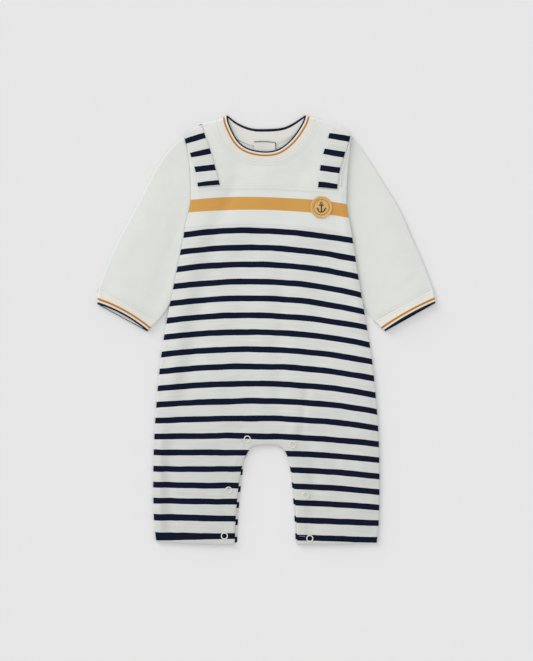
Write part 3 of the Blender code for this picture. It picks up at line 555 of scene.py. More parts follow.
def upper_side(node):
    """A function that gives the height of a node's upper side at any places, in millimetres."""
    solid = merged_solid(node)
    faces = [[v.index for v in f.verts] for f in solid.faces if f.normal.z > 0.5]
    tree = BVHTree.FromPolygons([v.co / MM for v in solid.verts], faces)
    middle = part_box(node)[1].z / MM
    solid.free()

    def height(places):
        found = []
        for across, up in places:
            guess = tree.find_nearest(Vector((across, up, middle)))[0].z
            found.append(tree.find_nearest(Vector((across, up, guess)))[0].z)
        return np.array(found)

    return height


def fine_outline(coarse, step):
    """The outline with smooth stretches between its corners."""
    before = coarse - np.roll(coarse, 1, axis=0)
    after = np.roll(coarse, -1, axis=0) - coarse
    turn = np.arctan2(
        before[:, 0] * after[:, 1] - before[:, 1] * after[:, 0], (before * after).sum(axis=1)
    )
    corners = np.flatnonzero(np.abs(turn) > CORNER)
    first = corners[0]
    coarse = np.roll(coarse, -first, axis=0)
    stops = list(corners - first) + [len(coarse)]
    ring = ring_of(coarse)
    return np.vstack([smooth(ring[a : b + 1], step)[:-1] for a, b in zip(stops, stops[1:])])


# ---------------------------------------------------------------- panels of cloth


def fill(outline, step):
    """Places inside an outline and the triangles between them, the outline's own points first."""
    ring = ring_of(outline)
    places = [outline]
    for distance in EDGE_ROWS:
        row = inset(outline, distance)
        row = row[is_inside(row, outline)]
        places.append(row[away(row, ring) > 0.8 * distance])
    low, high = outline.min(axis=0), outline.max(axis=0)
    grid = []
    for number, up in enumerate(np.arange(low[1], high[1], step * TRIANGLE_ROW)):
        shift = step / 2 if number % 2 else 0.0
        across = np.arange(low[0] + shift, high[0], step)
        grid.append(np.column_stack([across, np.full(len(across), up)]))
    grid = np.vstack(grid)
    grid = grid[is_inside(grid, outline)]
    places.append(grid[away(grid, ring) > EDGE_ROWS[-1] + 0.5 * step])
    places = np.vstack(places)
    edge = list(range(len(outline)))
    points, _, triangles, source, _, _ = delaunay_2d_cdt(
        [Vector(place) for place in places], [], [edge], KEEP_INSIDE, 1e-4
    )
    made_from = {old: new for new, olds in enumerate(source) for old in olds}
    points = np.array([tuple(point) for point in points])
    triangles = np.array([tuple(face) for face in triangles])
    a, b, c = points[triangles[:, 0]], points[triangles[:, 1]], points[triangles[:, 2]]
    turned = (b[:, 0] - a[:, 0]) * (c[:, 1] - a[:, 1]) < (c[:, 0] - a[:, 0]) * (b[:, 1] - a[:, 1])
    triangles[turned] = triangles[turned][:, ::-1]
    return points, triangles, [made_from[index] for index in edge]


def settled(height, triangles, fixed, rounds):
    """Heights evened out between neighbours, with the fixed ones kept."""
    edges = np.vstack([triangles[:, [0, 1]], triangles[:, [1, 2]], triangles[:, [2, 0]]])
    edges = np.vstack([edges, edges[:, ::-1]])
    count = np.bincount(edges[:, 0], minlength=len(height))
    for _ in range(rounds):
        mean = np.bincount(edges[:, 0], weights=height[edges[:, 1]], minlength=len(height)) / count
        height = np.where(fixed, height, 0.5 * (height + mean))
    return height


def folds_at(places, folds):
    """The height that a table of folds gives at these places. A fold fades towards its ends."""
    height = np.zeros(len(places))
    for half_width, rise, numbers in folds:
        distance, share = nearest_on(places, smooth(pairs(numbers), 4.0))
        fade = ramp(4.0 * share + 0.25) * ramp(4.0 * (1.0 - share) + 0.25)
        height += rise * fade * bell(distance, half_width)
    return height


def unevenness(places, depth):
    """A small, irregular swell, so that no stretch of cloth is quite flat."""
    waves = ((61.0, 0.4), (43.0, 2.1), (37.0, 1.1), (29.0, 2.7), (23.0, 0.2), (19.0, 1.7))
    height = np.zeros(len(places))
    for number, (length, angle) in enumerate(waves):
        along = places[:, 0] * math.cos(angle) + places[:, 1] * math.sin(angle)
        bend = math.sin(1.3 * number) * np.sin(places[:, 1] / 47.0 + number)
        height += np.sin(2 * math.pi * along / length + bend + number)
    return depth * height / len(waves)


def new_object(name, points, faces, on_cloth, material, node=None):
    """An object from points in millimetres, with their places on the cloth as its UV map."""
    mesh = bpy.data.meshes.new(name)
    mesh.from_pydata((np.asarray(points) * MM).tolist(), [], faces)
    corners = np.empty(len(mesh.loops), np.int32)
    mesh.loops.foreach_get("vertex_index", corners)
    layer = mesh.uv_layers.new(name="cloth")
    layer.data.foreach_set("uv", np.asarray(on_cloth, np.float32)[corners].ravel())
    mesh.shade_smooth()
    mesh.materials.append(material)
    obj = bpy.data.objects.new(name, mesh)
    bpy.context.scene.collection.objects.link(obj)
    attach(obj, "root")
    if node:
        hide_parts(node)
    return obj


def shell(places, upper, lower, triangles, rim):
    """The points and faces of a flat piece: its two sides, and a wall round its rim."""
    count = len(places)
    points = np.vstack([np.column_stack([places, upper]), np.column_stack([places, lower])])
    faces = triangles.tolist() + (triangles[:, ::-1] + count).tolist()
    return points, faces + [(a, a + count, b + count, b) for a, b in zip(rim, rim[1:] + rim[:1])]


def cloth_panel(
    name, node, slot, material, cloth_place, shape, wall, step, rests_on, outline=None, outer=None, trims=()
):
    """A panel of cloth on its node's form. `shape` adds height, and `cloth_place` gives the UV map.

    `outer` gives each place's distance from the garment's outer edges, where those aren't the whole outline.
    """
    if outline is None:
        outline = inset(fine_outline(upper_rim(node), EDGE_STEP), -SEAM_CLOSE)
    places, triangles, rim = fill(outline, step)
    edge = away(places, ring_of(outline))
    top = settled(upper_side(node)(places), triangles, edge < EDGE_ROWS[0] / 2, SETTLE_ROUNDS)
    top = top + shape(places)
    outside = outer(places) if outer else edge
    rounding = SEAM_DROP * bell(edge, SEAM_REACH) + EDGE_DROP * bell(outside, EDGE_REACH)
    points, faces = shell(places, top - wall * rounding, top - wall, triangles, rim)
    obj = new_object(name, points, faces, np.tile(cloth_place(places), (2, 1)), material, node)
    area_of(places, triangles)
    return obj


def area_of(places, triangles):
    """The flat area of triangles, in square millimetres."""
    a, b, c = places[triangles[:, 0]], places[triangles[:, 1]], places[triangles[:, 2]]
    return 0.5 * np.abs(
        (b[:, 0] - a[:, 0]) * (c[:, 1] - a[:, 1]) - (c[:, 0] - a[:, 0]) * (b[:, 1] - a[:, 1])
    ).sum()


# ---------------------------------------------------------------- places on the cloth


def band_coordinate(up, edges, half):
    """Where each height lies among bands, from a row of band edges for each point, from the top down.

    Whole numbers are the middles of the bands, and every band ends `half` from its middle.
    """
    numbers = np.repeat(np.arange(1, edges.shape[1] // 2 + 1), 2)
    marks = numbers + np.tile([-half, half], edges.shape[1] // 2)
    pitch = (edges[:, 0] - edges[:, -1]) / (marks[-1] - marks[0])
    found = np.where(
        up > edges[:, 0],
        marks[0] - (up - edges[:, 0]) / pitch,
        marks[-1] + (edges[:, -1] - up) / pitch,
    )
    for k in range(edges.shape[1] - 1):
        share = (edges[:, k] - up) / (edges[:, k] - edges[:, k + 1])
        within = (share >= 0.0) & (share < 1.0)
        found[within] = (marks[k] + share * (marks[k + 1] - marks[k]))[within]
    return found


STRIPE_CURVES = np.polynomial.polynomial.polyfit(STRIPE_COLUMNS, np.array(STRIPE_HEIGHTS).T, 3)


def striped_place(places):
    """Across, and rows of stitches, which run with the stripes: stripe k is at k pitches."""
    across, up = places.T
    middles = np.polynomial.polynomial.polyval(across, STRIPE_CURVES).T
    half = np.full(middles.shape, STRIPE_HALF)
    for row, extra in LAST_STRIPES_WIDEN:
        half[:, row] += extra * ramp((across - WIDEN_FROM) / (WIDEN_TO - WIDEN_FROM))
    edges = np.stack([middles + half, middles - half], axis=2).reshape(len(across), -1)
    return np.column_stack([across, STRIPE_PITCH * band_coordinate(up, edges, STRIPE_HALF / STRIPE_PITCH)])


def back_striped_place(places):
    """The same for the back, whose stripes are shifted at the inside legs."""
    shift = np.interp(places[:, 0], BACK_SHIFT_ACROSS, BACK_SHIFT)
    return striped_place(np.column_stack([places[:, 0], places[:, 1] + shift]))


def chest_place(places):
    """Across, and rows of stitches from the lower edge of the coloured stripe."""
    across, up = places.T
    table = np.array(CHEST_STRIPE)
    top = np.interp(across, *smooth(table[:, [0, 1]], 4.0).T)
    bottom = np.interp(across, *smooth(table[:, [0, 2]], 4.0).T)
    return np.column_stack([across, CHEST_STRIPE_WIDTH * (up - bottom) / (top - bottom)])


def strap_place(bars):
    """A function for one strap: across it, and rows of stitches, with bar k at k pitches."""
    table = np.array(bars)
    left_up, right_up = table[:, [1, 2]].ravel(), table[:, [4, 5]].ravel()
    left_across, right_across = np.repeat(table[:, 0], 2), np.repeat(table[:, 3], 2)

    def place(places):
        across, up = places.T
        left = np.interp(-up, -left_up, left_across)
        right = np.interp(-up, -right_up, right_across)
        share = ((across - left) / (right - left))[:, None]
        edges = left_up + share * (right_up - left_up)
        rows = BAR_PITCH * band_coordinate(up, edges, BAR_HALF / BAR_PITCH)
        return np.column_stack([STRAP_WIDTH * share[:, 0], rows])

    return place


def plain_place(turn=0.0):
    """A function for plain cloth: the plan, turned by this angle."""

    def place(places):
        across = places[:, 0] * math.cos(turn) + places[:, 1] * math.sin(turn)
        return np.column_stack([across, places[:, 1] * math.cos(turn) - places[:, 0] * math.sin(turn)])

    return place


# ---------------------------------------------------------------- materials


class Value:
    """A number in a material's nodes. Arithmetic on it adds the nodes that work it out."""

    def __init__(self, shader, socket):
        self.shader, self.socket = shader, socket

    def __add__(self, other):
        return self.shader.math("ADD", self, other)

    def __sub__(self, other):
        return self.shader.math("SUBTRACT", self, other)

    def __rsub__(self, other):
        return self.shader.math("SUBTRACT", other, self)

    def __mul__(self, other):
        return self.shader.math("MULTIPLY", self, other)

    def __truediv__(self, other):
        return self.shader.math("DIVIDE", self, other)

    def __abs__(self):
        return self.shader.math("ABSOLUTE", self)

    def sine(self, wavelength):
        """A sine of this wavelength."""
        return self.shader.math("SINE", self * (2 * math.pi / wavelength))

    def folded(self, length):
        """The distance to the nearest whole multiple of twice this length."""
        return self.shader.math("PINGPONG", self, length)

    def step(self, low, high):
        """0 under low, 1 over high and a smooth step between."""
        inputs = {0: self, 1: low, 2: high}
        return self.shader.value("ShaderNodeMapRange", inputs, interpolation_type="SMOOTHSTEP")

    def within(self, half, soft):
        """1 under `half` and 0 over it, with a soft edge."""
        return self.step(half + soft, half - soft)


class Shader:
    """One material's nodes, wired step by step."""

    def __init__(self, name, roughness, sheen=0.0):
        self.material = bpy.data.materials.new(name)
        self.material.use_nodes = True
        self.tree = self.material.node_tree
        self.surface = self.tree.nodes["Principled BSDF"]
        finish = {"Roughness": roughness, "Specular IOR Level": 0.12}
        finish.update({"Sheen Weight": sheen, "Sheen Roughness": 0.5})
        for key, value in finish.items():
            self.surface.inputs[key].default_value = value

    def node(self, kind, inputs=(), **settings):
        """A new node, with its settings and what goes into its sockets."""
        made = self.tree.nodes.new(kind)
        for key, value in settings.items():
            setattr(made, key, value)
        for key, value in dict(inputs).items():
            self.join(value, made.inputs[key])
        return made

    def join(self, value, socket):
        """Links a socket's value, or sets a fixed one."""
        if isinstance(value, Value):
            value = value.socket
        if isinstance(value, bpy.types.NodeSocket):
            self.tree.links.new(value, socket)
        else:
            socket.default_value = value

    def value(self, kind, inputs, **settings):
        return Value(self, self.node(kind, inputs, **settings).outputs[0])

    def math(self, operation, first, second=0.0):
        return self.value("ShaderNodeMath", {0: first, 1: second}, operation=operation)

    def toned(self, base, factor):
        """A colour made lighter or darker by a factor."""
        if not isinstance(base, bpy.types.NodeSocket):
            base = tuple(base)[:3]
        return self.node("ShaderNodeVectorMath", {0: base, "Scale": factor}, operation="SCALE").outputs[0]

    def mix(self, share, first, second):
        return self.node("ShaderNodeMix", {0: share, 6: first, 7: second}, data_type="RGBA").outputs[2]

    def noise(self, scale, detail, vector=None):
        """Noise about 0.5, on the place on the cloth unless told otherwise."""
        vector = self.place if vector is None else vector
        return self.value("ShaderNodeTexNoise", {"Vector": vector, "Scale": scale, "Detail": detail})

    def on_object(self):
        """The place on the object, in metres."""
        return self.node("ShaderNodeTexCoord").outputs["Object"]

    def finish(self, base, height=None, depth=1.0):
        """Sets the base colour and the relief, whose height is 0 to 1 for `depth` in metres."""
        self.join(base, self.surface.inputs["Base Color"])
        if height is not None:
            bump = self.node("ShaderNodeBump", {"Height": height, "Strength": 1.0, "Distance": depth})
            self.join(bump.outputs[0], self.surface.inputs["Normal"])
        return self.material


class ClothShader(Shader):
    """A shader that knows the place on the cloth, and its two parts: along the rows and across them."""

    def __init__(self, name, roughness, sheen=0.0):
        super().__init__(name, roughness, sheen)
        self.place = self.node("ShaderNodeUVMap", uv_map="cloth").outputs[0]
        parts = self.node("ShaderNodeSeparateXYZ", {0: self.place}).outputs
        self.across, self.rows = Value(self, parts[0]), Value(self, parts[1])


def rgba(values, factor=1.0):
    return (*[factor * value for value in values], 1.0)


def knitted(shader, base, cloth, mottle=0.05, streaks=0.04):
    """Finishes a material as knit: uneven yarn, streaks along its rows, and V-shaped stitches with fuzz."""
    stretched = {0: shader.place, 1: (STREAK_ACROSS, STREAK_ROWS, 1.0)}
    along_rows = shader.node("ShaderNodeVectorMath", stretched, operation="MULTIPLY").outputs[0]
    change = (shader.noise(0.035, 3.0) - 0.5) * mottle
    change += (shader.noise(1.0, 3.0, along_rows) - 0.5) * streaks
    change += (shader.noise(2.2, 3.0) - 0.5) * YARN_CHANGE
    half_wale = cloth.wale / MM / 2
    groove = shader.across.folded(half_wale) / half_wale
    loops = (shader.rows / (cloth.course / MM) + groove * STITCH_SLANT).sine(1.0)
    height = loops * LOOP_RISE + 0.5 + groove * GROOVE_RISE + shader.noise(1.6, 3.0) * FUZZ_RISE
    return shader.finish(shader.toned(base, change + 1.0), height, cloth.knit_depth)


def frayed(shader, depth):
    """Rows of stitches with the slight raggedness of a knitted colour change."""
    return shader.rows + (shader.noise(0.9, 1.0) - 0.5) * depth


def jersey(name, cloth, base):
    """Plain jersey."""
    return knitted(ClothShader(name, 0.92, 0.18), rgba(base), cloth)


def banded_jersey(name, cloth, ground, band, pitch, half, fade=0.0):
    """Jersey with a band at every pitch. Its colours are painted a little darker down the rows, by `fade` at
    the last: painted shade for light that falls off towards the legs.
    """
    shader = ClothShader(name, 0.95)
    wavy = frayed(shader, 0.35) + (shader.noise(0.03, 2.0) - 0.5) * 2.2
    in_band = wavy.folded(pitch / 2).within(half, BAND_EDGE)
    base = shader.mix(in_band, rgba(ground), rgba(band))
    # Painted shade: the colours darken down the rows, for light that falls off towards the legs
    down = shader.rows.step(PAINTED_SHADE_ROWS[0] * pitch, PAINTED_SHADE_ROWS[1] * pitch)
    return knitted(shader, shader.toned(base, 1.0 - down * fade), cloth, 0.06, 0.26)


def striped_jersey(name, cloth, colours):
    """The striped jersey of the front and the back, with painted shade that darkens it towards the legs."""
    return banded_jersey(name, cloth, colours.ground, colours.navy, STRIPE_PITCH, STRIPE_HALF, STRIPES_PAINTED_SHADE)


def chest_jersey(name, cloth, ground, band):
    """Jersey with one coloured stripe."""
    shader = ClothShader(name, 0.92, 0.18)
    half = CHEST_STRIPE_WIDTH / 2
    in_band = abs(frayed(shader, 0.3) - half).within(half, BAND_EDGE)
    return knitted(shader, shader.mix(in_band, rgba(ground), rgba(band)), cloth)


def rib_knit(name, cloth, colours, lines):
    """Rib knit with a dark line at its free edge and a coloured line behind it.

    The UV map's second part is the distance from the free edge, and negative on the inside.
    """
    shader = ClothShader(name, 0.92, 0.15)
    edge_line, low, high, inside_line = lines
    distance = abs(shader.rows)
    inside = shader.rows.step(0.0, -0.01)
    edge = (distance - (inside * (inside_line - edge_line) + edge_line)).within(0.0, LINE_EDGE)
    line = abs(distance - (low + high) / 2).within((high - low) / 2, LINE_EDGE) * (1.0 - inside)
    base = shader.mix(line, rgba(colours.cream), rgba(colours.ochre))
    return knitted(shader, shader.mix(edge, base, rgba(colours.navy)), cloth)


def plain_thread(name, base, roughness=0.75):
    """Sewing thread, with its twist."""
    shader = ClothShader(name, roughness, 0.2)
    shade = shader.noise(1.3, 2.0) * 0.14 + 0.93
    return shader.finish(shader.toned(base, shade), shader.across.sine(0.35), 0.00004)


def twill(name, base):
    """Patch cloth with fine diagonal ribs."""
    shader = ClothShader(name, 0.8, 0.25)
    diagonal = (shader.across + shader.rows).sine(0.7)
    factor = diagonal * 0.05 + 1.0 + (shader.noise(1.2, 3.0) - 0.5) * 0.16
    return shader.finish(shader.toned(base, factor), diagonal, 0.00008)


def ribbon(name, base):
    """Woven ribbon: fine warp lines with a satin shine."""
    shader = ClothShader(name, 0.55, 0.1)
    weave = shader.across.sine(0.45) * shader.rows.sine(0.6)
    return shader.finish(shader.toned(base, shader.noise(0.3, 3.0) * 0.06 + 0.97), weave, 0.00003)


def enamel(name, base):
    """Pearly enamel on metal, with small wear marks."""
    shader = Shader(name, 0.35)
    for key, value in {"Specular IOR Level": 0.4, "Coat Weight": 0.25, "Coat Roughness": 0.2}.items():
        shader.surface.inputs[key].default_value = value
    wear = shader.noise(1400.0, 4.0, shader.on_object())
    return shader.finish(shader.mix(wear.step(0.6, 0.75), rgba(base), rgba(base, 0.82)), wear, 0.00003)


# ---------------------------------------------------------------- front and back


FRONTS = ("front_yoke", "chest_band", "front_body")


def garment_edge():
    """The front's outer edges, without the seams between its own pieces."""
    rims = {node: ring_of(evenly(ring_of(upper_rim(node)), EDGE_STEP)[:-1]) for node in FRONTS}
    edges = []
    for node, ring in rims.items():
        middles = (ring[1:] + ring[:-1]) / 2
        sewn_to = [smooth(FRONT_NECK_SEAM)] + [other for name, other in rims.items() if name != node]
        edges.append((ring, np.min([away(middles, line) for line in sewn_to], axis=0) > 1.0))
    return edges


def distance_to_edge(places, edges):
    """How far each place is from the garment's outer edge."""
    found = np.full(len(places), np.inf)
    for ring, keep in edges:
        starts = np.flatnonzero(keep & ~np.roll(keep, 1))
        if not len(starts):
            found = np.minimum(found, away(places, ring))
            continue
        size = len(keep)
        for start in starts:
            stop = start
            while keep[stop % size] and stop - start < size:
                stop += 1
            line = ring[:-1][np.arange(start, stop + 1) % size]
            found = np.minimum(found, away(places, line))
    return found


def front_seams():
    """The seams above and below the chest band."""
    return seam_line("front_yoke", "chest_band"), seam_line("chest_band", "front_body")


def seam_line(upper_node, lower_node):
    """The seam between two panels: the upper one's lower edge, from left to right."""
    upper, lower = upper_rim(upper_node), upper_rim(lower_node)
    seam = upper[away(upper, ring_of(lower)) < 1.0]
    return seam[seam[:, 0].argsort()]


def front_shape(context, edges):
    """The height that folds, facings, hems and snaps add to the front."""
    depth = context.scene.romper_cloth.folds
    seams = front_seams()
    body = upper_rim("front_body")
    crotch = body[(np.abs(body[:, 0]) < CROTCH_WIDTH / 2) & (body[:, 1] < CROTCH_TOP)]
    left_leg, right_leg = crotch[crotch[:, 0] < 0.0], crotch[crotch[:, 0] >= 0.0]
    inside_legs = np.vstack([left_leg[left_leg[:, 1].argsort()], right_leg[right_leg[:, 1].argsort()[::-1]]])
    hem = body[:, 1].min()

    def shape(places):
        across, up = places.T
        from_edge = distance_to_edge(places, edges)
        height = folds_at(places, FRONT_FOLDS) + folds_at(places, FRONT_CREASES)
        height = depth * (height + unevenness(places, FRONT_SWELL)) * (1.0 - bell(from_edge, FOLD_FADE))
        height += depth * folds_at(places, EDGE_CREASES)
        outer_side = between(np.abs(across), ROLL_ACROSS) * between(up, ROLL_UP)
        height -= EDGE_ROLL * outer_side * bell(from_edge, EDGE_ROLL_REACH)
        below = [np.interp(across, *seam.T) - up for seam in seams]
        height -= WAIST_DIP * bell(below[1], WAIST_REACH)
        for distance in below:
            height += SEAM_RISE * ramp(distance / 1.2) * ramp((SEAM_ALLOWANCE + 1.5 - distance) / DOUBLED_IN)
        height += FACING_RISE * doubled(away(places, inside_legs), FACING_WIDTH)
        height += HEM_RISE * doubled(up - hem, HEM_WIDTH)
        for centre in SNAPS:
            height -= SNAP_PULL * bell(np.linalg.norm(places - np.array(centre), axis=1), SNAP_PULL_REACH)
        return height

    return shape


class ROMPER_OT_front(bpy.types.Operator):
    """Makes the yoke, the chest band and the striped front with both legs."""

    bl_idname = "romper.front"
    bl_label = "Front"

    def execute(self, context):
        cloth, colours = context.scene.romper_cloth, context.scene.romper_colours
        edges = garment_edge()
        shape = front_shape(context, edges)
        wall, step = cloth.jersey_wall / MM, cloth.grid / MM

        def outer(places):
            return distance_to_edge(places, edges)

        white = jersey("yoke_jersey", cloth, colours.off_white)
        chest = chest_jersey("chest_jersey", cloth, colours.off_white, colours.mustard)
        striped = striped_jersey("striped_jersey", cloth, colours)
        pieces = (
            ("yoke_cloth", "front_yoke", "white_jersey", white, plain_place(), "back_yoke_cloth"),
            ("chest_cloth", "chest_band", "white_jersey", chest, chest_place, "back_yoke_cloth"),
            ("front_cloth", "front_body", "striped_jersey", striped, striped_place, "back_cloth"),
        )
        for *piece, under in pieces:
            cloth_panel(*piece, shape, wall, step, under, outer=outer)
        return {"FINISHED"}


def back_shape(places):
    """The height of the back's few low folds, which rise from the ground under the middle of the garment."""
    inland = 1.0 - bell(away(places, ring_of(upper_rim("back_body"))), BACK_FADE)
    return np.maximum(folds_at(places, BACK_FOLDS), 0.0) * inland


def flat_shape(places):
    """No height at all."""
    return np.zeros(len(places))


def no_edge(places):
    """An outer edge that is nowhere near, for a panel that is sewn in all round."""
    return np.full(len(places), np.inf)


def back_yoke_outline():
    """The back yoke's outline, cut lower at the neck."""
    outline = inset(fine_outline(upper_rim("back_yoke"), EDGE_STEP), -SEAM_CLOSE)
    distance, share = nearest_on(outline, smooth(BACK_NECK_SEAM))
    at_seam = distance < 1.0
    outline[at_seam] = at_share(offset_line(smooth(BACK_NECK_LINE), 0.03), share[at_seam])
    return outline


class ROMPER_OT_back(bpy.types.Operator):
    """Makes the back yoke and the striped back, flat on the ground but for a few low folds."""

    bl_idname = "romper.back"
    bl_label = "Back"

    def execute(self, context):
        cloth, colours = context.scene.romper_cloth, context.scene.romper_colours
        wall, step = cloth.jersey_wall / MM, 2.0 * cloth.grid / MM
        plain = jersey("back_yoke_jersey", cloth, colours.off_white)
        yoke = ("back_yoke_cloth", "back_yoke", "white_jersey", plain, plain_place())
        cloth_panel(*yoke, flat_shape, wall, step, "ground", back_yoke_outline(), no_edge)
        striped = striped_jersey("back_striped_jersey", cloth, colours)
        body = ("back_cloth", "back_body", "striped_jersey", striped, back_striped_place)
        cloth_panel(*body, back_shape, wall, step, "ground")
        return {"FINISHED"}


# ---------------------------------------------------------------- sleeves


def refined(node):
    """The points, in millimetres, and faces of a smooth, finer copy of a node's wall. Its rims stay sharp."""
    solid = merged_solid(node)
    mesh = bpy.data.meshes.new("wall")
    solid.to_mesh(mesh)
    solid.free()
    obj = bpy.data.objects.new("wall", mesh)
    bpy.context.scene.collection.objects.link(obj)
    bpy.ops.object.select_all(action="DESELECT")
    obj.select_set(True)
    bpy.context.view_layer.objects.active = obj
    bpy.ops.object.mode_set(mode="EDIT")
    bpy.ops.mesh.select_all(action="SELECT")
    bpy.ops.mesh.tris_convert_to_quads()
    bpy.ops.mesh.select_all(action="DESELECT")
    bpy.ops.mesh.edges_select_sharp(sharpness=RIM_ANGLE)
    bpy.ops.transform.edge_crease(value=RIM_CREASE)
    bpy.ops.object.mode_set(mode="OBJECT")
    finer = obj.modifiers.new("Finer", "SUBSURF")
    finer.levels = finer.render_levels = SLEEVE_LEVELS
    bpy.ops.object.modifier_apply(modifier=finer.name)
    points = np.array([v.co for v in obj.data.vertices]) / MM
    faces = [tuple(face.vertices) for face in obj.data.polygons]
    bpy.data.objects.remove(obj)
    return points, faces


def beside_body(places):
    """How far each place is outside the body, and 0 under it."""
    found = np.full(len(places), np.inf)
    for node in FRONTS:
        rim = upper_rim(node)
        apart = np.where(is_inside(places, rim), 0.0, away(places, ring_of(rim)))
        found = np.minimum(found, apart)
    return found


class ROMPER_OT_sleeves(bpy.types.Operator):
    """Makes the two sleeves, flattened tubes with soft folds in their upper side."""

    bl_idname = "romper.sleeves"
    bl_label = "Sleeves"

    def execute(self, context):
        cloth, colours = context.scene.romper_cloth, context.scene.romper_colours
        wall = cloth.jersey_wall / MM
        material = jersey("sleeve_jersey", cloth, colours.off_white)
        sides = (
            ("left", LEFT_SLEEVE_FOLDS, LEFT_SLEEVE_START, -SLEEVE_TURN),
            ("right", RIGHT_SLEEVE_FOLDS, RIGHT_SLEEVE_START, SLEEVE_TURN),
        )
        for side, folds, (lowest, start, rise, reach), turn in sides:
            node = f"sleeve_{side}"
            points, faces = refined(node)
            places, height = points[:, :2], points[:, 2]
            top = np.maximum(upper_side(node)(places), wall)
            beside = beside_body(places)
            near = 1.0 - ramp(beside / reach)
            sunk = (start - lowest) * bell(beside, START_REACH[side])
            own = folds_at(places, folds) + unevenness(places, SLEEVE_SWELL)
            wanted = top + cloth.folds * own * (1.0 - near)
            wanted += near * (start - sunk + rise * beside - top)
            wanted = np.where(beside > 0.0, wanted, np.minimum(top, min(lowest, UNDER_BODY)))
            points[:, 2] = height * np.maximum(wanted, 0.5 * wall) / top
            on_cloth = plain_place(turn)(places)
            obj = new_object(f"{node}_cloth", points, faces, on_cloth, material, node)
            low_corner, high_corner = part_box(node)
            width, length = high_corner.x - low_corner.x, high_corner.y - low_corner.y
            declare_tube(obj, 2.0 * width / MM, length / MM)
        return {"FINISHED"}


# ---------------------------------------------------------------- neck rib and cuffs


def tube_mesh(name, outer, inner, on_cloth, material, node):
    """A wall open at both ends from two grids of points of one size: rows by columns that close round.

    The inside has the same places on the cloth, with the distance from the free edge turned negative.
    """
    outer, inner, on_cloth = np.array(outer), np.array(inner), np.array(on_cloth)
    rows, columns = outer.shape[:2]
    points = np.vstack([outer.reshape(-1, 3), inner.reshape(-1, 3)])
    index = np.arange(rows * columns).reshape(rows, columns)
    following = np.roll(index, -1, axis=1)
    a, b, c, d = index[:-1], following[:-1], following[1:], index[1:]
    outer_faces = np.stack([a, b, c, d], axis=-1).reshape(-1, 4)
    inner_faces = outer_faces[:, ::-1] + rows * columns
    rims = []
    for row, turn in ((0, 1), (-1, -1)):
        i, j = index[row], following[row]
        rim = np.stack([i, i + rows * columns, j + rows * columns, j], axis=-1)
        rims.append(rim[:, ::turn])
    faces = np.vstack([outer_faces, inner_faces, *rims])
    corners = points[faces]
    volume = np.einsum("ij,ij->i", corners[:, 0], np.cross(corners[:, 1], corners[:, 2]))
    volume += np.einsum("ij,ij->i", corners[:, 0], np.cross(corners[:, 2], corners[:, 3]))
    if volume.sum() < 0.0:
        faces = faces[:, ::-1]
    on_inside = on_cloth * (1.0, -1.0) - (0.0, 0.02)
    both = np.vstack([on_cloth.reshape(-1, 2), on_inside.reshape(-1, 2)])
    return new_object(name, points, faces.tolist(), both, material, node)


def ribs(along, count):
    """The rounded profile of ribs over shares of a length, from 0 to 1."""
    return np.abs(np.sin(np.pi * along * count)) ** 0.8


def edge_taper(share):
    """1 over the width of a rib band, and less at its free edge, which is rounded."""
    return next((thickness for limit, thickness in EDGE_TAPER if share < limit), 1.0)


def both_sides(upper_plan, upper, lower_plan, lower):
    """One row round a tube: along its upper side and back along its lower side."""
    return np.vstack([np.column_stack([upper_plan, upper]), np.column_stack([lower_plan, lower])[::-1]])


